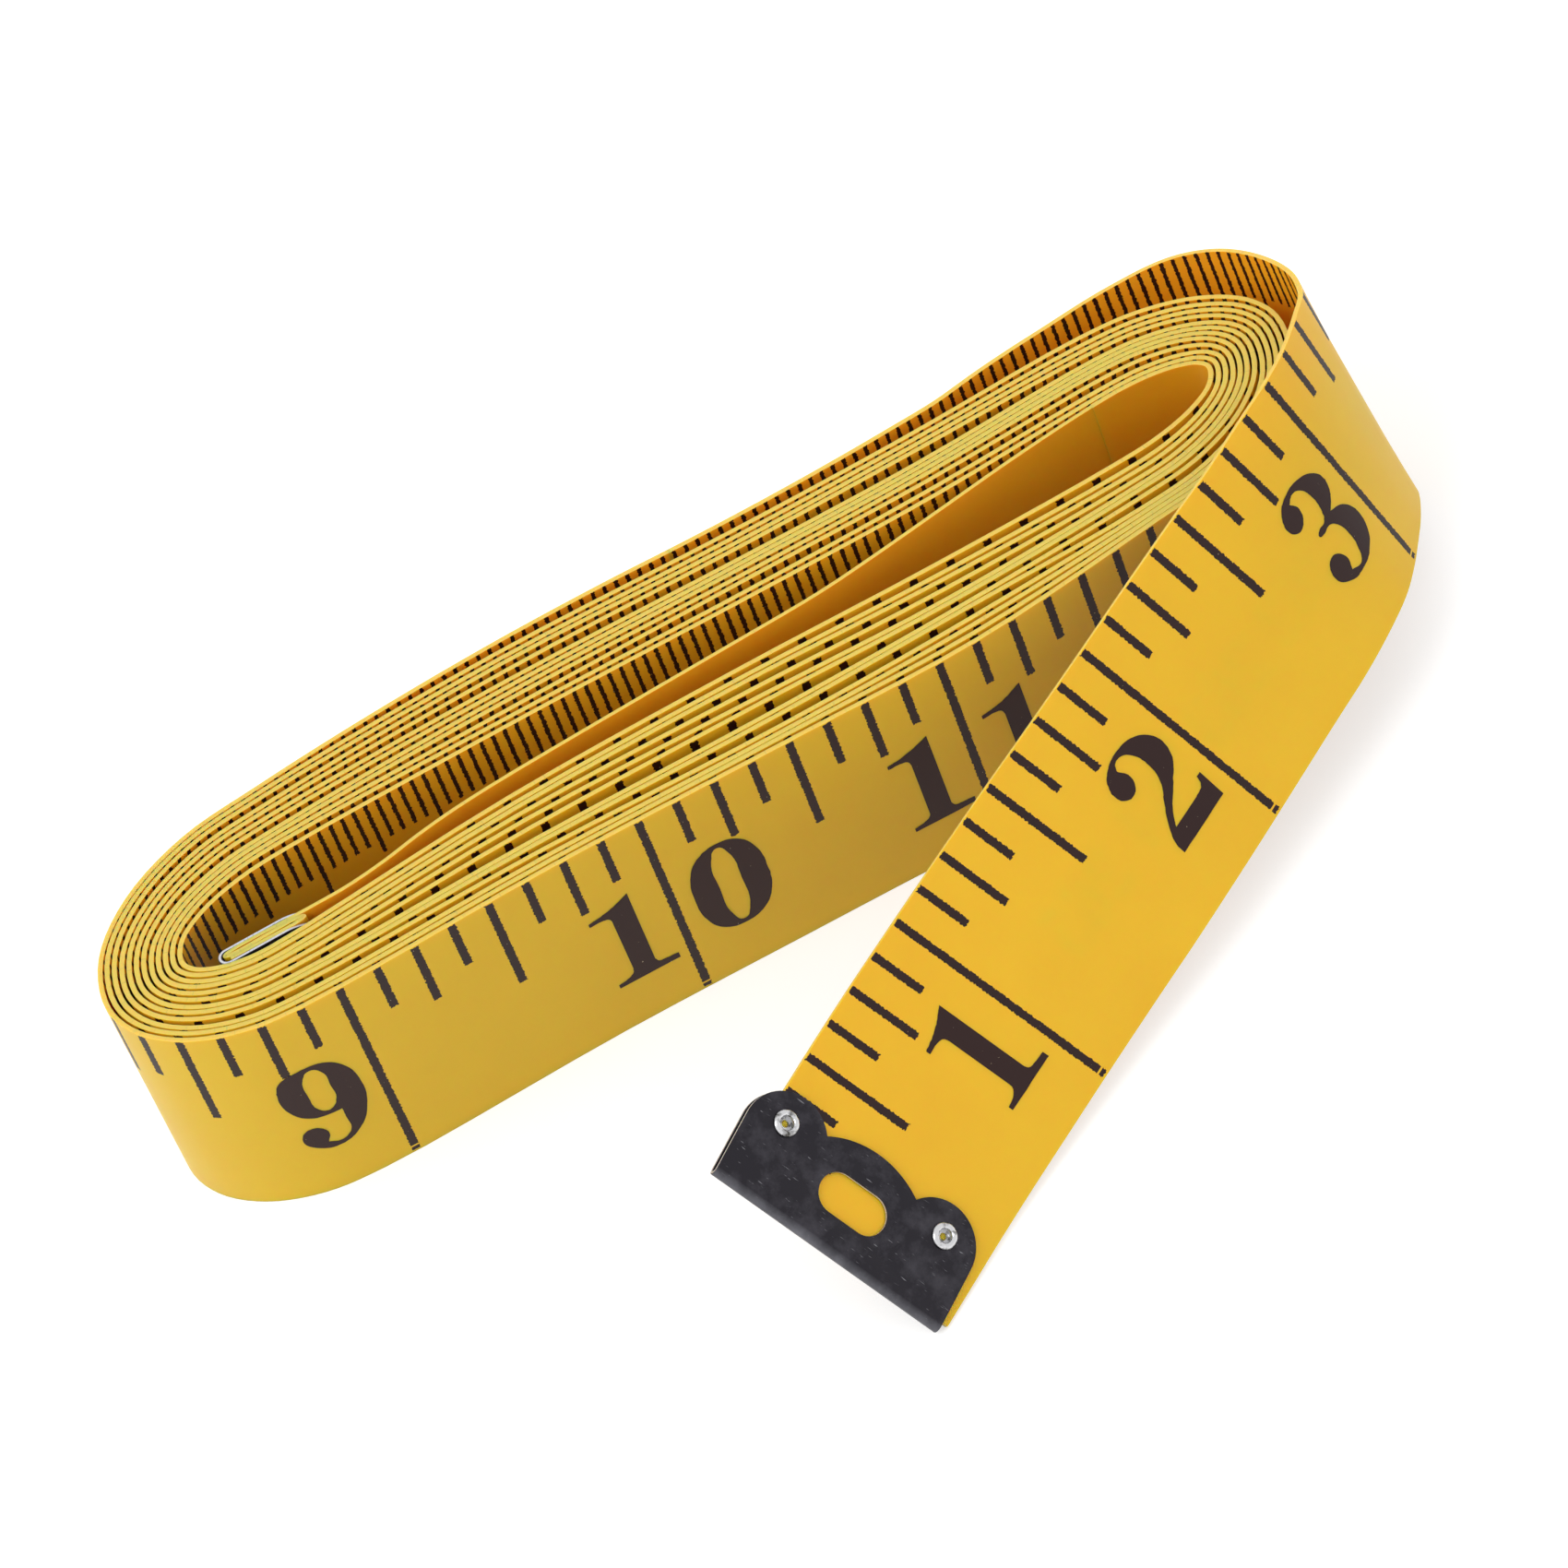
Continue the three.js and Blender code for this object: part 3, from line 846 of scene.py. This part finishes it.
# outlines in millimetres from the figure's lower left; a third value of 1 is a corner
outlines = {
    "0": (
        (
            (3.05, 9.3), (4.75, 8.75), (5.8, 7.1), (6.1, 4.65), (5.8, 2.2), (4.75, 0.55), (3.05, 0),
            (1.35, 0.55), (0.3, 2.2), (0, 4.65), (0.3, 7.1), (1.35, 8.75),
        ),
        (
            (3.0, 8.85), (2.3, 7.9), (2.08, 4.65), (2.3, 1.4), (3.0, 0.45), (3.7, 1.4), (3.95, 4.65),
            (3.7, 7.9),
        ),
    ),
    "1": (
        (
            (0, 8.0, 1), (1.3, 8.2), (2.4, 8.55), (3.6, 9.1, 1), (3.6, 1.15, 1), (3.8, 0.75), (4.4, 0.62),
            (5.4, 0.55, 1), (5.4, 0, 1), (0.25, 0, 1), (0.25, 0.4, 1), (1.2, 0.6), (1.65, 0.9),
            (1.75, 1.3, 1), (1.75, 6.95, 1), (1.6, 7.4), (1.15, 7.6), (0, 7.62, 1),
        ),
    ),
    "2": (
        (
            (0.05, 6.8), (0.5, 7.95), (1.55, 8.6), (2.95, 8.8), (4.5, 8.45), (5.55, 7.5), (5.9, 6.3),
            (5.4, 4.95), (3.9, 3.8), (2.1, 2.6), (1.2, 1.65, 1), (4.3, 1.65, 1), (5.1, 1.85),
            (5.4, 2.5, 1), (5.85, 2.5, 1), (5.7, 0, 1), (0, 0, 1), (0.12, 0.9), (0.8, 2.05), (2.1, 3.45),
            (3.3, 4.7), (3.72, 6.3), (3.5, 7.6), (2.85, 8.3), (2, 8.25), (1.75, 7.85, 1), (2.1, 6.8),
            (1.2, 5.75), (0.3, 6.1),
        ),
    ),
    "3": (
        (
            (0.2, 7.3), (0.9, 8.4), (2.5, 8.9), (4, 8.7), (5.35, 7.9), (5.9, 6.8), (5.4, 5.6),
            (4.2, 4.85, 1), (5.5, 4.15), (6.2, 2.6), (5.7, 1.1), (4.3, 0.2), (2.6, 0), (1, 0.4),
            (0.05, 1.7), (1.1, 2.88), (2.2, 1.8), (1.75, 0.8, 1), (2.85, 0.42), (3.65, 1.3), (3.95, 2.5),
            (3.8, 3.65), (3.2, 4.35), (2.2, 4.4), (1.75, 4.65), (2.2, 4.9), (3.1, 4.92), (3.65, 5.7),
            (3.85, 6.8), (3.6, 7.9), (2.8, 8.45), (1.95, 8.2, 1), (2.3, 7.3), (1.3, 6.25), (0.45, 6.5),
        ),
    ),
    "4": (
        (
            (3.2, 9.1, 1), (4.6, 9.1, 1), (4.6, 3.1, 1), (5.9, 3.1, 1), (5.9, 2.35, 1), (4.6, 2.35, 1),
            (4.6, 0.75, 1), (4.8, 0.55), (5.7, 0.45, 1), (5.7, 0, 1), (1.8, 0, 1), (1.8, 0.45, 1),
            (2.6, 0.55), (2.8, 0.75, 1), (2.8, 2.35, 1), (0, 2.35, 1), (0, 3, 1),
        ),
        ((2.8, 3.1, 1), (0.7, 3.1, 1), (2.8, 7.2, 1)),
    ),
    "5": (
        (
            (1, 9.2, 1), (3, 8.95), (5.3, 9.2, 1), (5.15, 7.9), (3.6, 7.45), (1.4, 7.6, 1), (1.4, 5.1, 1),
            (2.2, 5.6), (3.3, 5.8), (5.3, 5), (6.1, 3), (5.2, 0.9), (3, 0), (1.1, 0.35), (0.1, 1.75),
            (1.1, 2.85), (2.2, 1.85), (1.8, 0.8, 1), (2.8, 0.42), (3.75, 1.3), (4, 3), (3.65, 4.8),
            (2.8, 5.3), (1.9, 4.95), (1.35, 4.25), (1, 4.25, 1),
        ),
    ),
    "6": (
        (
            (6.2, 1.95), (5.6, 0.5), (4.1, 0), (2.05, 0.2), (0.6, 1.65), (0.05, 4), (0.45, 6.65),
            (1.5, 8.4), (3.2, 9.3), (5, 8.85), (5.95, 7.55), (5.15, 6.5), (3.9, 7.4), (4.2, 8.5, 1),
            (3.2, 8.85), (2.35, 8.3), (2.23, 6.65), (2.23, 5.7, 1), (3.1, 5.7), (4.7, 5.33), (5.9, 4),
        ),
        (
            (3.23, 0.4), (3.95, 1.1), (4.1, 3.1), (3.9, 4.6), (3.1, 5.25), (2.35, 4.6), (2.25, 2.8),
            (2.4, 1.1),
        ),
    ),
    "7": (
        (
            (0.15, 9.1, 1), (0.15, 6.4, 1), (0.5, 6.4, 1), (0.85, 7.1), (1.6, 7.35), (4.6, 7.35, 1),
            (3.2, 5.4), (2.2, 3.2), (1.85, 1.2), (2.1, 0.3), (3, 0), (3.95, 0.4), (4.05, 2), (4.5, 4.2),
            (5.4, 6.6), (6.1, 9.1, 1),
        ),
    ),
    "8": (
        (
            (3.05, 9.2), (4.8, 8.75), (5.7, 7.2), (5.2, 5.8), (4.1, 5, 1), (5.5, 4.1), (6.1, 2.4),
            (5.3, 0.7), (3.05, 0), (0.8, 0.7), (0, 2.3), (0.6, 3.8), (1.8, 4.6, 1), (0.8, 5.5),
            (0.4, 6.9), (1.2, 8.6),
        ),
        ((3.05, 8.75), (4, 8.1), (4.2, 7.1), (3.65, 5.35), (2.2, 6.3), (1.8, 7.4), (2.2, 8.4)),
        ((2.2, 4.35), (1.5, 3.3), (1.4, 2.1), (1.9, 0.9), (3.05, 0.45), (4.1, 1), (4.3, 2.1), (3.6, 3.4)),
    ),
    "9": (
        (
            (0, 7.35), (0.6, 8.8), (2.1, 9.3), (4.15, 9.1), (5.6, 7.65), (6.15, 5.3), (5.75, 2.65),
            (4.7, 0.9), (3, 0), (1.2, 0.45), (0.25, 1.75), (1.05, 2.8), (2.3, 1.9), (2, 0.8, 1),
            (3, 0.45), (3.85, 1), (3.97, 2.65), (3.97, 3.6, 1), (3.1, 3.6), (1.5, 3.97), (0.3, 5.3),
        ),
        (
            (2.97, 8.9), (2.25, 8.2), (2.1, 6.2), (2.3, 4.7), (3.1, 4.05), (3.85, 4.7), (3.95, 6.5),
            (3.8, 8.2),
        ),
    ),
}
figureWidths = {
    digit: max(corner[0] for outline in outlines[digit] for corner in outline) for digit in outlines
}


def figureMesh(digit):
    curve = bpy.data.curves.new("figure" + digit, "CURVE")
    curve.dimensions = "2D"
    curve.fill_mode = "BOTH"
    curve.resolution_u = figures["curveSteps"]
    for outline in outlines[digit]:
        spline = curve.splines.new("BEZIER")
        spline.use_cyclic_u = True
        spline.bezier_points.add(len(outline) - 1)
        for corner, bezier in zip(outline, spline.bezier_points):
            bezier.co = (corner[0], corner[1], 0)
            kind = "VECTOR" if len(corner) > 2 else "AUTO"
            bezier.handle_left_type = kind
            bezier.handle_right_type = kind
    shown = bpy.data.objects.new(curve.name, curve)
    bpy.context.scene.collection.objects.link(shown)
    mesh = bpy.data.meshes.new_from_object(shown.evaluated_get(bpy.context.evaluated_depsgraph_get()))
    bpy.data.objects.remove(shown)
    bpy.data.curves.remove(curve)
    return mesh


figureMeshes = {digit: figureMesh(digit) for digit in outlines}


# Where a mark's place on the tape is: along the path, across it, and out of its face
def tapePlace(path, marks, mark, fromEdge, outward):
    last = len(marks) - 1
    low, high = 0, last
    while high - low > 1:
        middle = (low + high) // 2
        if marks[middle] >= mark:
            low = middle
        else:
            high = middle
    share = (marks[low] - mark) / (marks[low] - marks[high])
    point = path[low][0].lerp(path[high][0], share)
    across = path[low][1].lerp(path[high][1], share)
    before, after = max(low - 1, 0), min(high + 1, last)
    aheadLow = (path[high][0] - path[before][0]).normalized()
    aheadHigh = (path[after][0] - path[low][0]).normalized()
    out = across.cross(aheadLow.lerp(aheadHigh, share)).normalized()
    return point + across * (tape["width"] / 2 - fromEdge) + out * outward


# Puts figures on one face of the tape: each is a digit, the mark of its left side, its baseline, and its
# shares of the full width and height
def makeFigures(name, path, marks, placed, side):
    bm = bmesh.new()
    for digit, left, baseline, wide, high in placed:
        before = len(bm.verts)
        bm.from_mesh(figureMeshes[digit])
        bm.verts.ensure_lookup_table()
        for vert in bm.verts[before:]:
            vert.co = (left + side * vert.co.x * wide, baseline - vert.co.y * high, 0)
    bmesh.ops.remove_doubles(bm, verts=bm.verts[:], dist=tiny)
    lowest = min(vert.co.x for vert in bm.verts)
    highest = max(vert.co.x for vert in bm.verts)
    for mark in marks:
        if lowest < mark < highest:
            everything = bm.verts[:] + bm.edges[:] + bm.faces[:]
            bmesh.ops.bisect_plane(bm, geom=everything, plane_co=(mark, 0, 0), plane_no=(1, 0, 0))
    bmesh.ops.triangulate(bm, faces=bm.faces[:])
    plan = bm.loops.layers.uv.new("tapePlan")
    for face in bm.faces:
        for loop in face.loops:
            loop[plan].uv = loop.vert.co.xy
    outward = side * (tape["thickness"]["outer"] / 2 + figures["lift"])
    for vert in bm.verts:
        # the print is a little ragged, as the marks are
        shake = figures["shake"] * noise.noise(vert.co / figures["shakeSize"])
        vert.co = tapePlace(path, marks, vert.co.x + shake, vert.co.y + shake, outward) * mm
    for face in bm.faces:
        face.normal_update()
        centre = face.calc_center_median()
        mark = sum(loop[plan].uv.x for loop in face.loops) / 3
        fromEdge = sum(loop[plan].uv.y for loop in face.loops) / 3
        if face.normal.dot(centre - tapePlace(path, marks, mark, fromEdge, 0) * mm) < 0:
            face.normal_flip()
    return newObject(name, bm, [screenInk])


def inchFigures(first, last):
    placed = []
    for inch in range(first, last + 1):
        line = inchLength * inch
        word = str(inch)
        if len(word) == 1:
            placed.append((word, line - figures["beside"] - figureWidths[word], figures["baseline"], 1, 1))
        else:
            tens = line - figures["tensBeside"] - figureWidths[word[0]]
            placed.append((word[0], tens, figures["baseline"], 1, 1))
            placed.append((word[1], line + figures["onesBeside"], figures["baseline"], 1, 1))
    return placed


# The other face counts centimetres from the inner end
def metricFigures(fromMark, toMark):
    placed = []
    wide, high = figures["metricWidth"], figures["metricHeight"]
    first = math.ceil((tapeLength - toMark) / centimetre)
    last = int((tapeLength - fromMark) / centimetre)
    for number in range(first, last):
        line = tapeLength - centimetre * number
        line = centimetre * round((line + metricScale["offset"]) / centimetre) - metricScale["offset"]
        left = line + figures["metricBeside"]
        for digit in str(number):
            placed.append((digit, left, figures["metricBaseline"], wide, high))
            left -= figureWidths[digit] * wide + figures["metricGap"]
    return placed


outerPlaced = inchFigures(*figures["outerInches"])
outerFigures = makeFigures("outerFigures", outerPath, outerMarks, outerPlaced, 1)
windingPlaced = inchFigures(*figures["windingInches"])
windingFigures = makeFigures("windingFigures", winding, windingMarks, windingPlaced, 1)
metricPlaced = metricFigures(*figures["metricMarks"])
outerMetricFigures = makeFigures("outerMetricFigures", outerPath, outerMarks, metricPlaced, -1)
print("figures made")

# Clips

clip = {
    "width": {"outer": 20.8, "inner": 20},
    "length": 8.7,
    "sheet": 0.3,
    "inside": {"outer": 0.22, "inner": 0.49},  # half of the room between its two sides
    "overhang": {"outer": 0.85, "inner": 0},
    "lobeRadius": 3.45,
    "lobeHeight": 5.48,
    "archRadius": 7.8,
    "slotLength": 5.9,
    "slotWidth": 3.2,
    "slotHeight": 4.3,
    "eyeletX": 7.38,
    "eyeletY": 6.45,
    "holeRadius": 0.8,
    "edgeRound": 0.06,
    "roundFrom": 50,  # degrees
    "smoothAngle": 40,
    "lobeSteps": 24,
    "archSteps": 36,
    "slotSteps": 20,
    "holeSteps": 24,
    "foldSteps": 14,
}


# The clip's own frame: X across the tape from its middle, Y from the fold along it, Z out of the inch face
def clipPlace(point, across, backward, overhang):
    side = -across.normalized()
    through = side.cross(backward).normalized()
    place = Matrix((side, through.cross(side), through)).transposed().to_4x4()
    place.translation = point - side * overhang
    return place


def arcPoints(x, y, radius, start, end, steps):
    angles = [start + (end - start) * step / steps for step in range(steps + 1)]
    return [(x + radius * math.cos(angle), y + radius * math.sin(angle)) for angle in angles]


def loopOf(bm, points, z):
    verts = [bm.verts.new((x, y, z)) for x, y in points]
    return [bm.edges.new((verts[i - 1], verts[i])) for i in range(len(verts))]


def makeClip(name, place, width, inside):
    half = width / 2
    arch, lobe = clip["archRadius"], clip["lobeRadius"]
    lobeX, lobeY = half - lobe, clip["lobeHeight"]
    archY = clip["length"] - arch
    apart = math.hypot(lobeX, lobeY - archY)
    line = math.atan2(lobeY - archY, lobeX)
    reach = (apart**2 + arch**2 - lobe**2) / (2 * apart * arch)
    fromArch = line + math.acos(reach)
    valleyX = arch * math.cos(fromArch)
    valleyY = archY + arch * math.sin(fromArch)
    fromLobe = math.atan2(valleyY - lobeY, valleyX - lobeX)
    foldY = inside + clip["sheet"]
    middle = inside + clip["sheet"] / 2
    outline = [(-half, foldY), (half, foldY)]
    outline += arcPoints(lobeX, lobeY, lobe, 0, fromLobe, clip["lobeSteps"])
    outline += arcPoints(0, archY, arch, fromArch, math.pi - fromArch, clip["archSteps"])[1:]
    outline += arcPoints(-lobeX, lobeY, lobe, math.pi - fromLobe, math.pi, clip["lobeSteps"])[1:]
    slotReach = (clip["slotLength"] - clip["slotWidth"]) / 2
    slotRadius = clip["slotWidth"] / 2
    slot = []
    for side in (1, -1):
        start = -side * math.pi / 2
        slot += arcPoints(
            side * slotReach, clip["slotHeight"], slotRadius, start, start + math.pi, clip["slotSteps"]
        )
    bm = bmesh.new()
    edges = loopOf(bm, outline, middle) + loopOf(bm, slot, middle)
    for side in (-1, 1):
        x = side * clip["eyeletX"]
        hole = arcPoints(x, clip["eyeletY"], clip["holeRadius"], 0, 2 * math.pi, clip["holeSteps"])[:-1]
        edges += loopOf(bm, hole, middle)
    bmesh.ops.triangle_fill(bm, use_beauty=True, edges=edges, normal=(0, 0, 1))
    foldEdge = [edge for edge in bm.edges if all(abs(vert.co.y - foldY) < tiny for vert in edge.verts)]
    bmesh.ops.mirror(bm, geom=bm.verts[:] + bm.edges[:] + bm.faces[:], axis="Z", merge_dist=0)
    bmesh.ops.spin(
        bm,
        geom=foldEdge,
        cent=(0, foldY, 0),
        axis=(1, 0, 0),
        angle=math.pi,
        steps=clip["foldSteps"],
        use_duplicate=False,
    )
    bmesh.ops.remove_doubles(bm, verts=bm.verts[:], dist=tiny)
    bmesh.ops.recalc_face_normals(bm, faces=bm.faces[:])
    plan = bm.loops.layers.uv.new("clipPlan")
    for face in bm.faces:
        for corner in face.loops:
            corner[plan].uv = corner.vert.co.xy
    bm.transform(Matrix.Scale(mm, 4) @ place)
    obj = newObject(name, bm, [blackSteel, cutSteelAndHighlight])
    solidify = obj.modifiers.new("sheet", "SOLIDIFY")
    solidify.thickness = clip["sheet"] * mm
    solidify.offset = 0
    solidify.material_offset_rim = 1
    rounding = obj.modifiers.new("cutEdges", "BEVEL")
    rounding.width = clip["edgeRound"] * mm
    rounding.segments = 2
    rounding.limit_method = "ANGLE"
    rounding.angle_limit = math.radians(clip["roundFrom"])
    rounding.material = 0
    return finished(obj, clip["smoothAngle"])


# An eyelet is a tube rolled outwards at both ends; its rolled ring is dented where the tool split it
eyelet = {
    "bore": 0.52,
    "wall": 0.2,
    "curl": 0.22,  # the tube's inner lip
    "curlTop": 0.3,
    "curlRound": ((0, -0.1), (0.08, 0)),
    "curlFoot": -0.06,
    "flange": 1.04,
    "play": 0.02,
    "crown": 0.26,
    # the ring's round, measured from the bore and the crown, from the rim and the crown, and from the rim
    # and the seat
    "boreRound": ((0.05, -0.1), (0.16, -0.01), (0.27, 0)),
    "rimTop": ((-0.12, -0.07),),
    "rimRound": ((-0.02, 0.1), (0, 0.03), (-0.03, 0)),
    "dents": 6,
    "dentDepth": 0.05,
    "dentsAbove": 0.02,  # the seat
    "steps": 36,
    "smoothAngle": 60,
}


def makeEyelet(name, place, x, inside):
    bore, flange = eyelet["bore"], eyelet["flange"]
    seat = inside + clip["sheet"] + eyelet["play"]
    crown = seat + eyelet["crown"]
    half = [(eyelet["curl"], 0)]
    half += [(eyelet["curl"] + out, eyelet["curlTop"] + rise) for out, rise in eyelet["curlRound"]]
    half += [(bore, eyelet["curlTop"] + eyelet["curlFoot"]), (bore, seat)]
    half += [(bore + out, crown + rise) for out, rise in eyelet["boreRound"]]
    half += [(flange + out, crown + rise) for out, rise in eyelet["rimTop"]]
    half += [(flange + out, seat + rise) for out, rise in eyelet["rimRound"]]
    half += [(bore + eyelet["wall"], seat), (bore + eyelet["wall"], 0)]
    profile = half + [(radius, -height) for radius, height in reversed(half[1:-1])]
    bm = bmesh.new()
    edges = loopOf(bm, [(radius, 0) for radius, height in profile], 0)
    bm.verts.ensure_lookup_table()
    for vert, (radius, height) in zip(bm.verts, profile):
        vert.co = (radius, 0, height)
    bmesh.ops.spin(
        bm,
        geom=bm.verts[:] + edges,
        cent=(0, 0, 0),
        axis=(0, 0, 1),
        angle=2 * math.pi,
        steps=eyelet["steps"],
        use_merge=True,
        use_duplicate=False,
    )
    bmesh.ops.remove_doubles(bm, verts=bm.verts[:], dist=tiny)
    bmesh.ops.recalc_face_normals(bm, faces=bm.faces[:])
    for vert in bm.verts:
        if abs(vert.co.z) > seat + eyelet["dentsAbove"]:
            angle = math.atan2(vert.co.y, vert.co.x)
            dent = eyelet["dentDepth"] * max(0, math.cos(eyelet["dents"] * angle)) ** 3
            vert.co.z -= math.copysign(dent, vert.co.z)
    bm.transform(Matrix.Scale(mm, 4) @ place @ Matrix.Translation((x, clip["eyeletY"], 0)))
    return finished(newObject(name, bm, [nickel]), eyelet["smoothAngle"])


outerEnd, outerAcross = outerPath[-1]
outerAhead = (outerEnd - outerPath[-2][0]).normalized()
outerFold = outerEnd + outerAhead * tape["endInFold"]
outerPlace = clipPlace(outerFold, outerAcross, -outerAhead, clip["overhang"]["outer"])
innerPlace = clipPlace(innerFold, up, innerAhead, clip["overhang"]["inner"])
for end, body, place in (("outer", "free_end", outerPlace), ("inner", "inner_end", innerPlace)):
    inside = clip["inside"][end]
    clipPiece = makeClip(end + "Clip", place, clip["width"][end], inside)
    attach(clipPiece, body)
    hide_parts("clip_" + end)
    for number, side in ((1, -1), (2, 1)):
        eyeletPiece = makeEyelet(f"{end}Eyelet{number}", place, side * clip["eyeletX"], inside)
        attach(eyeletPiece, body)
        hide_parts(f"eyelet_{end}_{number}")
print("clips and eyelets made")

# What moves with what

for piece in (outerTape, outerFigures, outerMetricFigures):
    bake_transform(piece)
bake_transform(innerTape)
for piece in (windingTape, windingFigures):
    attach(piece, "coil")
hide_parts("tape_winding")
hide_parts("tape_free_end")
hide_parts("tape_inner_end")


print("pieces joined to their bodies")

# Floor, light and background

studio = {
    "floorSize": 4,  # in metres
    "floorDrop": 0.02,  # the card lies this far under the lowest edge
    "floor": "#CECECE",
    "white": "#FFFFFF",
    "fibreSize": 1.111,
    "fibreHeight": 0.02,
    "fibreStrength": 0.03,
    "ambient": 0.95,
    "glow": 0.5,
    "key": 1,
    "keyAngle": 35,
    "keyTurn": (11.5, -39, 0),
}


def seenRay(tree):
    path = addNode(tree, "LightPath")
    seen = path.outputs["Is Camera Ray"]
    for name in ("Is Glossy Ray", "Is Transmission Ray"):
        links = {0: seen, 1: path.outputs[name]}
        seen = addNode(tree, "Math", {"operation": "MAXIMUM"}, links).outputs[0]
    return seen


# A matt pale card: for the camera and in reflections it is a little lighter, so that it meets the white
# background
def floorMaterial():
    material = newMaterial("paleCard")
    tree = material.node_tree
    place = addNode(tree, "TexCoord").outputs["Object"]
    fibre = addNode(
        tree, "TexNoise", {"Scale": 1 / (studio["fibreSize"] * mm), "Detail": 2}, {"Vector": place}
    )
    bump = addNode(
        tree,
        "Bump",
        {"Strength": studio["fibreStrength"], "Distance": studio["fibreHeight"] * mm},
        {"Height": fibre.outputs["Fac"]},
    ).outputs[0]
    card = addNode(tree, "BsdfDiffuse", {"Color": linear(studio["floor"])}, {"Normal": bump}).outputs[0]
    glow = addNode(
        tree, "Emission", {"Color": linear(studio["white"]), "Strength": studio["glow"]}
    ).outputs[0]
    lit = addNode(tree, "AddShader", links={0: card, 1: glow}).outputs[0]
    seen = seenRay(tree)
    shader = addNode(tree, "MixShader", links={0: seen, 1: card, 2: lit}).outputs[0]
    addNode(tree, "OutputMaterial", links={"Surface": shader})
    return material


def makeFloor():
    bm = bmesh.new()
    bmesh.ops.create_grid(bm, x_segments=1, y_segments=1, size=studio["floorSize"] / 2)
    bmesh.ops.translate(bm, verts=bm.verts[:], vec=(0, 0, -studio["floorDrop"] * mm))
    floor = newObject("floor", bm, [floorMaterial()])


def makeWorld():
    world = bpy.data.worlds.new("studio")
    world.use_nodes = True
    tree = world.node_tree
    tree.nodes.clear()
    colour = linear(studio["white"])
    ambient = addNode(tree, "Background", {"Color": colour, "Strength": studio["ambient"]}).outputs[0]
    white = addNode(tree, "Background", {"Color": colour, "Strength": 1}).outputs[0]
    mixed = addNode(tree, "MixShader", links={0: seenRay(tree), 1: ambient, 2: white}).outputs[0]
    addNode(tree, "OutputWorld", links={"Surface": mixed})
    bpy.context.scene.world = world


def makeSun(name, strength, angle, turn):
    data = bpy.data.lights.new(name, "SUN")
    data.energy = strength
    data.angle = math.radians(angle)
    lamp = bpy.data.objects.new(name, data)
    lamp.rotation_euler = [math.radians(value) for value in turn]
    bpy.context.scene.collection.objects.link(lamp)


makeFloor()
makeWorld()
makeSun("keyLight", studio["key"], studio["keyAngle"], studio["keyTurn"])
bpy.context.scene.view_settings.view_transform = "Standard"
print("studio made")
